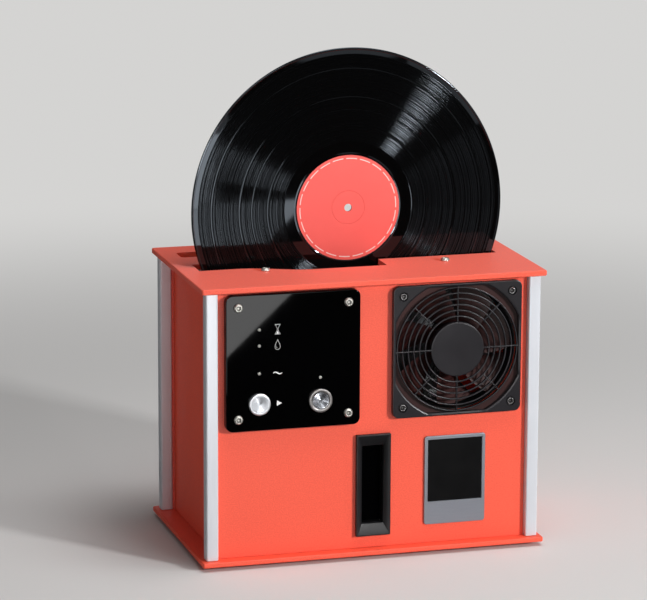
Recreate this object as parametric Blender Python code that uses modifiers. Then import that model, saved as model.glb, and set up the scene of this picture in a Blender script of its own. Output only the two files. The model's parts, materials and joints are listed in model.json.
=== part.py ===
"""Record cleaning machine: a bench-top bath that turns a record between wet rollers and dries it.

The front faces -Y, +Z is up, and the origin is on the table under the middle of the machine.
All sizes are metres.
"""
import math

import bmesh
import bpy
from mathutils import Matrix, Vector

# General clearances
SEAT_GAP = 0.0003
OVERRUN = 0.002
RUNNING_CLEARANCE = 0.00006
MERGE_DISTANCE = 0.00001

# Plates, posts and feet
PLATE_SIDE_MARGIN = 0.014
TOP_DEPTH = 0.196
TOP_THICKNESS = 0.005
BASE_PROUD = 0.002
BASE_THICKNESS = 0.0045
PLATE_CORNER = 0.0022
PLATE_EDGE = 0.0007
BODY_HEIGHT = 0.2505
POST_SIZE = 0.0115
POST_SIDE_INSET = 0.0045
POST_FRONT_INSET = 0.004
POST_CORNER = 0.0018
FOOT_HEIGHT = 0.004
FOOT_RADIUS = 0.011
FOOT_INSET = 0.024
FOOT_EDGE = 0.0008

# Panels
PANEL_THICKNESS = 0.003
FRONT_SETBACK = 0.0063
SIDE_SETBACK = 0.0025

# Record
RECORD_RADIUS = 0.1505
RECORD_THICKNESS = 0.002
RECORD_HOLE_RADIUS = 0.0036
RECORD_PLANE_Y = -0.003
RECORD_CENTRE_LIFT = 0.0497
LABEL_RADIUS = 0.050
LABEL_THICKNESS = 0.00025
LABEL_RECESS = 0.0003
LABEL_SEAT_GAP = 0.00003

# Slots in the top plate
SLOT_LEFT_MARGIN = 0.0182
SLOT_RIGHT_MARGIN = 0.0193
SLOT_REAR_CLEARANCE = 0.0145
SLOT_LEFT_CLEARANCE = 0.0128
SLOT_RIGHT_CLEARANCE = 0.004
SLOT_WIDE_CLEARANCE = 0.032
SLOT_NARROW_LENGTH = 0.0386
SLOT_FLARE_LENGTH = 0.0642
SLOT_STEP = 0.0285
REAR_SLOT_BACK_GAP = 0.0157
REAR_SLOT_DEPTH = 0.023
REAR_SLOT_SIDE_MARGIN = 0.0165
REAR_SLOT_CORNER = 0.004

# Button-head screws with a hexagon socket
SCREW_HEAD_RADIUS = 0.0042
SCREW_HEAD_HEIGHT = 0.0024
SCREW_SHANK_RADIUS = 0.002
SCREW_SOCKET_RADIUS = 0.0015
SCREW_SOCKET_DEPTH = 0.0014
SCREW_CROWN_SHARE = 0.6
SCREW_RIM_SHARE = 0.3
GUARD_SCREW_HEAD_RADIUS = 0.0036
GUARD_SCREW_SINK = 0.0022
PANEL_SCREW_LENGTH = 0.013
TOP_SCREW_LENGTH = 0.0085
TOP_SCREW_INSET = 0.0207
TOP_SCREW_MARGIN = 0.0142

# Control panel
FRONT_SIDE_GAP = 0.0069
FASCIA_MIDDLE_GAP = 0.0148
FASCIA_TOP_GAP = 0.0028
FASCIA_PROUD = 0.0075
FASCIA_FACE = 0.003
FASCIA_CORNER = 0.0065
FASCIA_EDGE = 0.0006
FASCIA_SCREW_INSET = 0.0114
FASCIA_WALL = 0.0184
LIGHT_RADIUS = 0.0015
LIGHT_COLUMN_SHARE = -0.254
LIGHT_ROW_SHARES = (0.2437, 0.1254, -0.0789)
POWER_COLUMN_SHARE = 0.2011
POWER_LIGHT_ROW_SHARE = -0.1341
LIGHT_BAR_THICKNESS = 0.0015
LIGHT_BAR_MARGIN = 0.004
BUTTON_ROW_SHARE = -0.3036

# Push-buttons
START_FLANGE_RADIUS = 0.0103
START_FLANGE_HEIGHT = 0.0026
POWER_FLANGE_RADIUS = 0.0111
POWER_FLANGE_HEIGHT = 0.0022
BUTTON_CAP_RADIUS = 0.0077
BUTTON_CAP_LENGTH = 0.004
BUTTON_STEM_RADIUS = 0.003
BUTTON_STEM_LENGTH = 0.009
BUTTON_BARREL_RADIUS = 0.0092
BUTTON_BARREL_LENGTH = 0.026
BUTTON_TRAVEL = 0.002
BUTTON_CAP_GAP = 0.0003
BUTTON_CAP_DISH = 0.0009
BUTTON_DISH_SHARE = 0.75
BUTTON_CHAMFER = 0.0009
BUTTON_NUT_RADIUS = 0.0125
BUTTON_NUT_THICKNESS = 0.003

# Circuit board
BOARD_SIDE_MARGIN = 0.0174
BOARD_HEIGHT = 0.074
BOARD_THICKNESS = 0.0016
BOARD_STANDOFF = 0.006
BOARD_STANDOFF_RADIUS = 0.003
BOARD_STANDOFF_INSET = 0.006
BOARD_LIFT = 0.020
CHIP_HEIGHT = 0.003
CHIP_SIZE = 0.014
CONNECTOR_HEIGHT = 0.009
CONNECTOR_LENGTH = 0.030
CONNECTOR_WIDTH = 0.008
RELAY_HEIGHT = 0.015
RELAY_SIZE = 0.016

# Fan guard
GUARD_MIDDLE_GAP = 0.0174
GUARD_TOP_GAP = 0.0035
GUARD_THICKNESS = 0.0055
GUARD_CORNER = 0.006
GUARD_EDGE = 0.0006
GUARD_OPENING_GAP = 0.00485
GUARD_RIM = 0.0026
GUARD_HUB_RADIUS = 0.0256
GUARD_HUB_EDGE = 0.0009
GUARD_RING_FIRST = 0.0310
GUARD_RING_EDGE_GAP = 0.00125
GUARD_RING_COUNT = 6
GUARD_RING_WIDTH = 0.0014
GUARD_RING_DEPTH = 0.0028
GUARD_RING_RECESS = 0.0006
GUARD_SPOKE_WIDTH = 0.0014
GUARD_SPOKE_INNER_SHARE = 0.9
GUARD_DIAGONAL_FIRST_RING = 1

# Fan
GUARD_LIP = 0.0021
FAN_SCREW_INSET = 0.0075
FAN_DEPTH = 0.025
FAN_CORNER = 0.006
FAN_WALL = 0.002
FAN_HOLE_CLEARANCE = 0.001
FAN_MOUNT_RADIUS = 0.021
FAN_MOUNT_THICKNESS = 0.003
FAN_STRUT_WIDTH = 0.004
FAN_STRUT_STEP = 0.0004
FAN_SHAFT_RADIUS = 0.0025
FAN_SHAFT_LENGTH = 0.002
ROTOR_HUB_RADIUS = 0.020
ROTOR_HUB_LENGTH = 0.019
ROTOR_HUB_EDGE = 0.002
BLADE_TIP_GAP = 0.002
ROTOR_FRONT_GAP = 0.0015
BLADE_COUNT = 7
BLADE_THICKNESS = 0.0012
BLADE_ROOT_SHARE = 0.94
BLADE_SWEEP_TURNS = 0.115
BLADE_SKEW_TURNS = 0.05
BLADE_LENGTH = 0.016
BLADE_STATIONS = 2
BLADE_STEPS = 4

# Level window
BEZEL_WIDTH = 0.033
BEZEL_TOP_GAP = 0.0141
BEZEL_FOOT_GAP = 0.0119
BEZEL_PROUD = 0.0042
BEZEL_RIM = 0.0012
BEZEL_BEVEL_SIDE = 0.005
BEZEL_BEVEL_END = 0.0082
BEZEL_SLEEVE_WALL = 0.0016
BEZEL_BACK = 0.002
PANE_THICKNESS = 0.0015

# Badge plate
BADGE_WIDTH = 0.0592
BADGE_TOP_GAP = 0.0202
BADGE_FOOT_GAP = 0.018
BADGE_THICKNESS = 0.0018
BADGE_RIM = 0.003
BADGE_FIELD_DEPTH = 0.0006
BADGE_FOOT_BAND = 0.0215
BADGE_CORNER = 0.0025
BADGE_EDGE = 0.0003

# Cleaning bath
BATH_SIDE_GAP = 0.006
BATH_REAR_Y = 0.024
BATH_LEFT_FRONT_Y = -0.020
BATH_RIGHT_FRONT_Y = -0.0165
BATH_WELL_FRONT_Y = -0.038
BATH_WELL_RIGHT = 0.040
BATH_FLOOR_GAP = 0.0082
BATH_WALL = 0.0025
BATH_FLANGE = 0.003
BATH_FLANGE_MARGIN = 0.0015
BATH_NOTCH_WIDTH = 0.012
BATH_NOTCH_DEPTH = 0.020
BATH_PILLAR_RADIUS = 0.004
BATH_PILLAR_X = 0.037
BATH_PILLAR_FRONT_Y = -0.030
BATH_PILLAR_REAR_Y = 0.022

# Cleaning rollers and their drive
ROLLER_RECORD_GAP = 0.0005
SLEEVE_RADIUS = 0.0105
SLEEVE_BORE = 0.0063
SLEEVE_EDGE = 0.0015
SLEEVE_FLOOR_GAP = 0.011
SLEEVE_TOP_GAP = 0.0105
SPINDLE_HEAD = 0.0025
SPINDLE_SHOULDER_RADIUS = 0.009
SPINDLE_SHOULDER_DROP = 0.004
SPINDLE_SHAFT_RADIUS = 0.003
GEAR_MODULE = 0.0015
ROLLER_TEETH = 16
PINION_TEETH = 13
GEAR_WIDTH = 0.006
GEAR_DROP = 0.0035
GEAR_ADDENDUM_SHARE = 0.68
GEAR_DEDENDUM_SHARE = 0.95
TOOTH_ROOT_SHARE = 0.56
TOOTH_TIP_SHARE = 0.20
GEARBOX_PLATE = 0.003
GEARBOX_GAP = 0.003
GEARBOX_HALF_LENGTH = 0.045
GEARBOX_FRONT_Y = -0.038
GEARBOX_REAR_Y = 0.030
ROLLER_MOTOR_RADIUS = 0.0175
ROLLER_MOTOR_HEIGHT = 0.019

# Turning rollers under the record's rim
RIM_ROLLER_END_GAP = 0.00162
RIM_ROLLER_RADIUS = 0.010
RIM_ROLLER_GAP = 0.0003
RIM_ROLLER_FLANGE = 0.0122
RIM_ROLLER_GROOVE = 0.003
RIM_ROLLER_WIDTH = 0.012
RIM_SHAFT_RADIUS = 0.003
RIM_SHAFT_TAIL = 0.008
TURN_MOTOR_RADIUS = 0.013
TURN_MOTOR_LENGTH = 0.030
BEARING_RADIUS = 0.007
BEARING_LENGTH = 0.010

# Ultrasonic transducer
TRANSDUCER_END_GAP = 0.054
TRANSDUCER_HORN_RADIUS = 0.022
TRANSDUCER_RING_RADIUS = 0.017
TRANSDUCER_RING_LIP = 0.0014
TRANSDUCER_HORN = 0.014
TRANSDUCER_RINGS = 0.010
TRANSDUCER_BACK = 0.010

# Water tank, pump, filter and hose
TANK_SIDE_GAP = 0.025
TANK_FRONT_GAP = 0.0062
TANK_REAR_GAP = 0.0147
TANK_TOP_GAP = 0.0225
TANK_WALL = 0.003
TANK_CORNER = 0.006
RISER_END_GAP = 0.028
PUMP_RADIUS = 0.018
PUMP_SHOULDER = 0.0035
PUMP_HEIGHT = 0.038
NIPPLE_RADIUS = 0.0045
NIPPLE_LENGTH = 0.010
NIPPLE_WALL = 0.0015
HOSE_WALL = 0.0015
FILTER_END_GAP = 0.058
FILTER_Y = 0.0
FILTER_RADIUS = 0.026
FILTER_HEIGHT = 0.060
FILTER_CAP = 0.006
FILTER_CAP_LIP = 0.002
SPIGOT_END_GAP = 0.048
SPIGOT_Z = 0.030
SPIGOT_RADIUS = 0.009
SPIGOT_BORE = 0.006
SPIGOT_PROUD = 0.006
CAP_RADIUS = 0.0125
CAP_DEPTH = 0.0085
CAP_WALL = 0.002

# Power inlet
INLET_SIDE_GAP = 0.0195
INLET_Z = 0.040
INLET_WIDTH = 0.048
INLET_HEIGHT = 0.030
INLET_FLANGE = 0.0025
INLET_CORNER = 0.003
INLET_BODY_WIDTH = 0.032
INLET_BODY_HEIGHT = 0.024
INLET_BODY_LENGTH = 0.018
INLET_WALL = 0.002
INLET_PIN_WIDTH = 0.004
INLET_PIN_THICKNESS = 0.002
INLET_PIN_PITCH = 0.007
INLET_PIN_OFFSET = 0.002
INLET_PIN_LENGTH = 0.012

# Fineness of round shapes, in steps a turn
RECORD_STEPS = 64
WIDE_STEPS = 40
RING_STEPS = 28
ROUND_STEPS = 20
SMALL_STEPS = 14
SHAFT_STEPS = 12
SCREW_STEPS = 10
HOLE_STEPS = 8
HEXAGON = 6
CORNER_STEPS = 4
FEW_CORNER_STEPS = 2
FLARE_STEPS = 8
SMOOTH_ANGLE = math.radians(35)
FLAT_ANGLE = math.radians(0.1)

# Places that follow from the sizes above
PLATE_WIDTH = 2 * (RECORD_RADIUS + PLATE_SIDE_MARGIN)
HALF_WIDTH = PLATE_WIDTH / 2
BASE_DEPTH = TOP_DEPTH + 2 * BASE_PROUD
BASE_TOP = FOOT_HEIGHT + BASE_THICKNESS
TOP_UNDER = BASE_TOP + BODY_HEIGHT
TOP_FACE = TOP_UNDER + TOP_THICKNESS
POST_OUTER_X = HALF_WIDTH - POST_SIDE_INSET
POST_INNER_X = POST_OUTER_X - POST_SIZE
POST_OUTER_Y = TOP_DEPTH / 2 - POST_FRONT_INSET
FRONT_FACE = -(POST_OUTER_Y - FRONT_SETBACK)
FRONT_BACK = FRONT_FACE + PANEL_THICKNESS
SIDE_OUTER_X = POST_INNER_X - SIDE_SETBACK
SIDE_INNER_X = SIDE_OUTER_X - PANEL_THICKNESS
SLOT_LEFT = HALF_WIDTH - SLOT_LEFT_MARGIN
SLOT_RIGHT = HALF_WIDTH - SLOT_RIGHT_MARGIN
SLOT_FLARE_START = SLOT_LEFT - SLOT_NARROW_LENGTH
SLOT_FLARE_END = SLOT_FLARE_START - SLOT_FLARE_LENGTH
REAR_SLOT_LENGTH = PLATE_WIDTH - 2 * REAR_SLOT_SIDE_MARGIN
REAR_SLOT_REAR = -FRONT_BACK - REAR_SLOT_BACK_GAP
FASCIA_SIZE = POST_INNER_X - FRONT_SIDE_GAP - FASCIA_MIDDLE_GAP
FASCIA_X = -(POST_INNER_X - FRONT_SIDE_GAP - FASCIA_SIZE / 2)
FASCIA_Z = TOP_UNDER - FASCIA_TOP_GAP - FASCIA_SIZE / 2
FASCIA_SCREW_PITCH = FASCIA_SIZE - 2 * FASCIA_SCREW_INSET
FASCIA_POCKET = FASCIA_SIZE - 2 * FASCIA_WALL
BOARD_WIDTH = FASCIA_SIZE - 2 * BOARD_SIDE_MARGIN
GUARD_SIZE = POST_INNER_X - FRONT_SIDE_GAP - GUARD_MIDDLE_GAP
GUARD_X = POST_INNER_X - FRONT_SIDE_GAP - GUARD_SIZE / 2
GUARD_Z = TOP_UNDER - GUARD_TOP_GAP - GUARD_SIZE / 2
GUARD_FOOT_Z = GUARD_Z - GUARD_SIZE / 2
FAN_SIZE = GUARD_SIZE - 2 * GUARD_LIP
FAN_SCREW_PITCH = FAN_SIZE - 2 * FAN_SCREW_INSET
FAN_BORE_RADIUS = FAN_SIZE / 2 - FAN_WALL
ROTOR_TIP_RADIUS = FAN_BORE_RADIUS - BLADE_TIP_GAP
GUARD_FLAT = GUARD_SIZE / 2 - GUARD_RIM
GUARD_OPENING_RADIUS = FAN_SCREW_PITCH / math.sqrt(2) - GUARD_SCREW_HEAD_RADIUS - GUARD_OPENING_GAP
GUARD_RING_LAST = GUARD_FLAT - GUARD_RING_EDGE_GAP
GUARD_RING_PITCH = (GUARD_RING_LAST - GUARD_RING_FIRST) / (GUARD_RING_COUNT - 1)
BEZEL_HEIGHT = GUARD_FOOT_Z - BEZEL_TOP_GAP - BASE_TOP - BEZEL_FOOT_GAP
BEZEL_Z = BASE_TOP + BEZEL_FOOT_GAP + BEZEL_HEIGHT / 2
BADGE_HEIGHT = GUARD_FOOT_Z - BADGE_TOP_GAP - BASE_TOP - BADGE_FOOT_GAP
BADGE_Z = BASE_TOP + BADGE_FOOT_GAP + BADGE_HEIGHT / 2
RECORD_Z = TOP_FACE + RECORD_CENTRE_LIFT
RECORD_HALF = RECORD_THICKNESS / 2
FASCIA_BACK_Y = FRONT_FACE - SEAT_GAP
FASCIA_FRONT_Y = FRONT_FACE - FASCIA_PROUD
GUARD_BACK_Y = FRONT_FACE - SEAT_GAP
GUARD_FRONT_Y = GUARD_BACK_Y - GUARD_THICKNESS
FAN_FRONT_Y = FRONT_BACK + SEAT_GAP
ROLLER_OFFSET = RECORD_HALF + ROLLER_RECORD_GAP + SLEEVE_RADIUS
ROLLER_PITCH_RADIUS = GEAR_MODULE * ROLLER_TEETH / 2
PINION_PITCH_RADIUS = GEAR_MODULE * PINION_TEETH / 2
ROLLER_X = ROLLER_PITCH_RADIUS + PINION_PITCH_RADIUS
ROLLER_FRONT_Y = RECORD_PLANE_Y - ROLLER_OFFSET
ROLLER_REAR_Y = RECORD_PLANE_Y + ROLLER_OFFSET
BATH_FLOOR_Z = RECORD_Z - RECORD_RADIUS - BATH_FLOOR_GAP
BATH_UNDER_Z = BATH_FLOOR_Z - BATH_WALL
BATH_HALF_LENGTH = SIDE_INNER_X - BATH_SIDE_GAP
SLEEVE_BOTTOM_Z = BATH_FLOOR_Z + SLEEVE_FLOOR_GAP
SLEEVE_TOP_Z = TOP_UNDER - SLEEVE_TOP_GAP
GEAR_TOP_Z = BATH_UNDER_Z - GEAR_DROP
GEAR_BOTTOM_Z = GEAR_TOP_Z - GEAR_WIDTH
GEARBOX_TOP_Z = GEAR_BOTTOM_Z - GEARBOX_GAP
GEARBOX_BOTTOM_Z = GEARBOX_TOP_Z - GEARBOX_PLATE
RIM_REACH = RECORD_RADIUS + RIM_ROLLER_GAP + RIM_ROLLER_RADIUS
RIM_ROLLER_X = BATH_HALF_LENGTH - RIM_ROLLER_FLANGE - RIM_ROLLER_END_GAP
RIM_ROLLER_Z = RECORD_Z - math.sqrt(RIM_REACH ** 2 - RIM_ROLLER_X ** 2)
TRANSDUCER_X = BATH_HALF_LENGTH - TRANSDUCER_END_GAP
TANK_FLOOR_Z = BASE_TOP + SEAT_GAP
TANK_HALF_LENGTH = SIDE_INNER_X - TANK_SIDE_GAP
TANK_HEIGHT = GUARD_FOOT_Z - TANK_TOP_GAP - TANK_FLOOR_Z
TANK_FRONT_Y = FRONT_BACK + TANK_FRONT_GAP
TANK_REAR_Y = -FRONT_BACK - TANK_REAR_GAP
RISER_X = -(TANK_HALF_LENGTH - RISER_END_GAP)
FILTER_X = TANK_HALF_LENGTH - FILTER_END_GAP
SPIGOT_X = -(TANK_HALF_LENGTH - SPIGOT_END_GAP)
INLET_X = POST_INNER_X - INLET_SIDE_GAP - INLET_WIDTH / 2
TOP_SCREW_SPREAD = SLOT_FLARE_START - TOP_SCREW_INSET
TOP_SCREW_Y = RECORD_PLANE_Y - RECORD_HALF - SLOT_LEFT_CLEARANCE - TOP_SCREW_MARGIN

FRONTWARD = Matrix.Rotation(math.pi / 2, 4, "X")
REARWARD = Matrix.Rotation(-math.pi / 2, 4, "X")
UPWARD = Matrix.Identity(4)


def clear_scene():
    """Empty the file of its start objects."""
    for item in list(bpy.data.objects):
        bpy.data.objects.remove(item, do_unlink=True)


def make_collection(name):
    """Add a collection to the scene."""
    group = bpy.data.collections.new(name)
    bpy.context.scene.collection.children.link(group)
    return group


def finish(name, colour, roughness, metallic=0.0):
    """A Principled material."""
    material = bpy.data.materials.new(name)
    material.use_nodes = True
    shader = material.node_tree.nodes["Principled BSDF"]
    shader.inputs["Base Color"].default_value = (*colour, 1.0)
    shader.inputs["Roughness"].default_value = roughness
    shader.inputs["Metallic"].default_value = metallic
    material.diffuse_color = (*colour, 1.0)
    return material


class Bench:
    """Where parts and cutters are put down: two collections and the helpers that fill them."""

    def __init__(self):
        self.parts = make_collection("record_cleaning_machine")
        self.cutters = make_collection("cutters")
        self.cutter_count = 0

    def add(self, name, mesh, material=None, place=UPWARD):
        """Put a mesh down as a part."""
        item = bpy.data.objects.new(name, mesh)
        item.matrix_world = place
        if material is not None:
            mesh.materials.clear()
            mesh.materials.append(material)
        self.parts.objects.link(item)
        return item

    def cutter(self, mesh, place=UPWARD):
        """Put a mesh down as a cutter, which is drawn as wire and never rendered."""
        self.cutter_count += 1
        item = bpy.data.objects.new("cutter_%03d" % self.cutter_count, mesh)
        item.matrix_world = place
        item.display_type = "WIRE"
        item.hide_render = True
        self.cutters.objects.link(item)
        return item

    def combine(self, item, other_mesh, operation="DIFFERENCE", place=UPWARD):
        """Cut a mesh out of a part, or join it on."""
        step = item.modifiers.new(operation.lower(), "BOOLEAN")
        step.operation = operation
        step.solver = "EXACT"
        step.object = self.cutter(other_mesh, place)
        return step


def block_mesh(low, high):
    """A box between two corners."""
    shape = bmesh.new()
    bmesh.ops.create_cube(shape, size=1.0)
    size = Vector(high) - Vector(low)
    middle = (Vector(high) + Vector(low)) / 2
    bmesh.ops.scale(shape, vec=size, verts=shape.verts)
    bmesh.ops.translate(shape, vec=middle, verts=shape.verts)
    return to_mesh(shape, "block")


def blocks_mesh(boxes):
    """Several boxes that stand clear of each other, in one mesh."""
    shape = bmesh.new()
    for low, high in boxes:
        made = bmesh.ops.create_cube(shape, size=1.0)["verts"]
        size = Vector(high) - Vector(low)
        middle = (Vector(high) + Vector(low)) / 2
        bmesh.ops.scale(shape, vec=size, verts=made)
        bmesh.ops.translate(shape, vec=middle, verts=made)
    return to_mesh(shape, "blocks")


def rods_mesh(places, radius, length, turn=UPWARD, steps=SMALL_STEPS):
    """Upright rods that start at their places and rise by a length, turned together."""
    shape = bmesh.new()
    for place in places:
        made = bmesh.ops.create_cone(
            shape, cap_ends=True, segments=steps, radius1=radius, radius2=radius, depth=length
        )["verts"]
        lift = Matrix.Translation(Vector(place)) @ turn @ Matrix.Translation((0, 0, length / 2))
        bmesh.ops.transform(shape, matrix=lift, verts=made)
    return to_mesh(shape, "rods")


def to_mesh(shape, name):
    """Turn a bmesh into a mesh."""
    mesh = bpy.data.meshes.new(name)
    shape.to_mesh(mesh)
    shape.free()
    return mesh


def rounded_outline(left, right, bottom, top, radius, steps=CORNER_STEPS):
    """Points round a rectangle with rounded corners."""
    points = []
    corners = (
        (right - radius, top - radius, 0.0),
        (left + radius, top - radius, math.pi / 2),
        (left + radius, bottom + radius, math.pi),
        (right - radius, bottom + radius, math.pi * 3 / 2),
    )
    for x, y, start in corners:
        for step in range(steps + 1):
            angle = start + math.pi / 2 * step / steps
            points.append((x + radius * math.cos(angle), y + radius * math.sin(angle)))
    return points


def sheet_mesh(outline, thickness, turn=UPWARD):
    """A flat outline given its thickness, rising from its own plane."""
    curve = bpy.data.curves.new("outline", "CURVE")
    curve.dimensions = "2D"
    curve.fill_mode = "BOTH"
    curve.extrude = thickness / 2
    spline = curve.splines.new("POLY")
    spline.points.add(len(outline) - 1)
    for point, (x, y) in zip(spline.points, outline):
        point.co = (x, y, 0, 1)
    spline.use_cyclic_u = True
    holder = bpy.data.objects.new("outline", curve)
    bpy.context.scene.collection.objects.link(holder)
    bpy.context.view_layer.update()
    evaluated = holder.evaluated_get(bpy.context.evaluated_depsgraph_get())
    mesh = bpy.data.meshes.new_from_object(evaluated)
    bpy.data.objects.remove(holder)
    bpy.data.curves.remove(curve)
    shape = bmesh.new()
    shape.from_mesh(mesh)
    bpy.data.meshes.remove(mesh)
    bmesh.ops.remove_doubles(shape, verts=shape.verts, dist=MERGE_DISTANCE)
    bmesh.ops.dissolve_limit(
        shape, angle_limit=FLAT_ANGLE, verts=shape.verts, edges=shape.edges
    )
    bmesh.ops.translate(shape, vec=(0, 0, thickness / 2), verts=shape.verts)
    bmesh.ops.transform(shape, matrix=turn, verts=shape.verts)
    bmesh.ops.recalc_face_normals(shape, faces=shape.faces)
    return to_mesh(shape, "sheet")


def upright_sheet(outline, front_y, back_y):
    """An outline in X and Z given the thickness between two Y planes."""
    turn = Matrix.Translation((0, back_y, 0)) @ FRONTWARD
    return sheet_mesh(outline, back_y - front_y, turn)


def turned_mesh(bench, profile, place=UPWARD, steps=ROUND_STEPS, ring=False):
    """A turned shape: radius and height pairs that run down its outer side, spun about Z."""
    shape = bmesh.new()
    points = [shape.verts.new((radius, 0, height)) for radius, height in profile]
    for first, second in zip(points, points[1:]):
        shape.edges.new((first, second))
    if ring:
        shape.edges.new((points[-1], points[0]))
    item = bench.add("turning", to_mesh(shape, "turning"))
    screw = item.modifiers.new("turn", "SCREW")
    screw.steps = steps
    screw.render_steps = steps
    screw.use_merge_vertices = True
    screw.merge_threshold = MERGE_DISTANCE
    mesh = settled(item, place)
    shade_round(mesh)
    return mesh


def turned(bench, name, profile, material, place=UPWARD, steps=ROUND_STEPS, ring=False):
    """A turned piece, placed on its own axis."""
    return bench.add(name, turned_mesh(bench, profile, UPWARD, steps, ring), material, place)


def settled(item, place=UPWARD):
    """The mesh of a part with its modifiers applied, the part itself removed."""
    bpy.context.view_layer.update()
    evaluated = item.evaluated_get(bpy.context.evaluated_depsgraph_get())
    mesh = bpy.data.meshes.new_from_object(evaluated)
    mesh.transform(place @ item.matrix_world)
    bpy.data.objects.remove(item)
    return mesh


def bevel(item, width):
    """Break the sharp edges of a part."""
    step = item.modifiers.new("edges", "BEVEL")
    step.width = width
    step.segments = 1
    step.limit_method = "ANGLE"
    step.angle_limit = SMOOTH_ANGLE


def shade_round(mesh):
    """Shade a round shape smooth, with its hard edges kept."""
    mesh.shade_smooth()
    mesh.set_sharp_from_angle(angle=SMOOTH_ANGLE)


def four_corners(spread_x, spread_z, centre_x=0.0, centre_z=0.0):
    """The corners of a rectangle, left to right and top to bottom."""
    places = []
    for sign_z in (1, -1):
        for sign_x in (-1, 1):
            places.append((centre_x + sign_x * spread_x / 2, centre_z + sign_z * spread_z / 2))
    return places


FASCIA_SCREWS = four_corners(FASCIA_SCREW_PITCH, FASCIA_SCREW_PITCH, FASCIA_X, FASCIA_Z)
FAN_SCREWS = four_corners(FAN_SCREW_PITCH, FAN_SCREW_PITCH, GUARD_X, GUARD_Z)
LIGHT_X = FASCIA_X + LIGHT_COLUMN_SHARE * FASCIA_SIZE
POWER_X = FASCIA_X + POWER_COLUMN_SHARE * FASCIA_SIZE
BUTTON_Z = FASCIA_Z + BUTTON_ROW_SHARE * FASCIA_SIZE
LIGHTS = [(LIGHT_X, FASCIA_Z + share * FASCIA_SIZE) for share in LIGHT_ROW_SHARES]
LIGHTS.append((POWER_X, FASCIA_Z + POWER_LIGHT_ROW_SHARE * FASCIA_SIZE))
START_PLACE = (LIGHT_X, BUTTON_Z)
POWER_PLACE = (POWER_X, BUTTON_Z)
BARREL_HOLE = BUTTON_BARREL_RADIUS + SEAT_GAP
SCREW_HOLE = SCREW_SHANK_RADIUS + SEAT_GAP


def board_places():
    """Where the circuit board's standoffs are."""
    return four_corners(
        BOARD_WIDTH - 2 * BOARD_STANDOFF_INSET,
        BOARD_HEIGHT - 2 * BOARD_STANDOFF_INSET,
        FASCIA_X,
        FASCIA_Z + BOARD_LIFT,
    )


def make_base_plate(bench, material):
    """The lower plate, which carries the posts, the panels and the tank."""
    outline = rounded_outline(
        -HALF_WIDTH, HALF_WIDTH, -BASE_DEPTH / 2, BASE_DEPTH / 2, PLATE_CORNER
    )
    lift = Matrix.Translation((0, 0, FOOT_HEIGHT))
    item = bench.add("base_plate", sheet_mesh(outline, BASE_THICKNESS, lift), material)
    bevel(item, PLATE_EDGE)


def flare(narrow, wide):
    """The slot's front edge where it swings out from its narrow left end to its wide middle."""
    points = []
    for step in range(FLARE_STEPS + 1):
        share = step / FLARE_STEPS
        x = -SLOT_FLARE_START + share * (SLOT_FLARE_START - SLOT_FLARE_END)
        ease = share * share * (3 - 2 * share)
        points.append((x, narrow + ease * (wide - narrow)))
    return points


def slot_outline():
    """The record slot seen from above: narrow at both ends and flared to the front between."""
    face = RECORD_PLANE_Y - RECORD_HALF
    rear = RECORD_PLANE_Y + RECORD_HALF + SLOT_REAR_CLEARANCE
    left = face - SLOT_LEFT_CLEARANCE
    right = face - SLOT_RIGHT_CLEARANCE
    wide = face - SLOT_WIDE_CLEARANCE
    points = [(-SLOT_LEFT, rear), (-SLOT_LEFT, left)]
    points += flare(left, wide)
    points += [(SLOT_STEP, wide), (SLOT_STEP, right), (SLOT_RIGHT, right), (SLOT_RIGHT, rear)]
    return points


def make_top_plate(bench, material):
    """The upper plate with the record slot, the air slot behind it and two screw holes."""
    outline = rounded_outline(-HALF_WIDTH, HALF_WIDTH, -TOP_DEPTH / 2, TOP_DEPTH / 2, PLATE_CORNER)
    item = bench.add(
        "top_plate", sheet_mesh(outline, TOP_THICKNESS, Matrix.Translation((0, 0, TOP_UNDER))), material
    )
    bevel(item, PLATE_EDGE)
    below = Matrix.Translation((0, 0, TOP_UNDER - OVERRUN))
    depth = TOP_THICKNESS + 2 * OVERRUN
    bench.combine(item, sheet_mesh(slot_outline(), depth, below))
    rear_slot = rounded_outline(
        -REAR_SLOT_LENGTH / 2,
        REAR_SLOT_LENGTH / 2,
        REAR_SLOT_REAR - REAR_SLOT_DEPTH,
        REAR_SLOT_REAR,
        REAR_SLOT_CORNER,
    )
    bench.combine(item, sheet_mesh(rear_slot, depth, below))
    places = [(side * TOP_SCREW_SPREAD, TOP_SCREW_Y, TOP_UNDER - OVERRUN) for side in (-1, 1)]
    bench.combine(item, rods_mesh(places, SCREW_HOLE, depth))


def make_posts(bench, material):
    """Four corner posts with softly rounded edges, between the plates."""
    middle_x = POST_OUTER_X - POST_SIZE / 2
    middle_y = POST_OUTER_Y - POST_SIZE / 2
    half = POST_SIZE / 2
    outline = rounded_outline(-half, half, -half, half, POST_CORNER, FEW_CORNER_STEPS)
    mesh = sheet_mesh(outline, BODY_HEIGHT - 2 * SEAT_GAP)
    mesh.materials.append(material)
    for name_y, sign_y in (("front", -1), ("rear", 1)):
        for name_x, sign_x in (("left", -1), ("right", 1)):
            place = Matrix.Translation((sign_x * middle_x, sign_y * middle_y, BASE_TOP + SEAT_GAP))
            bench.add("post_%s_%s" % (name_y, name_x), mesh, None, place)


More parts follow.
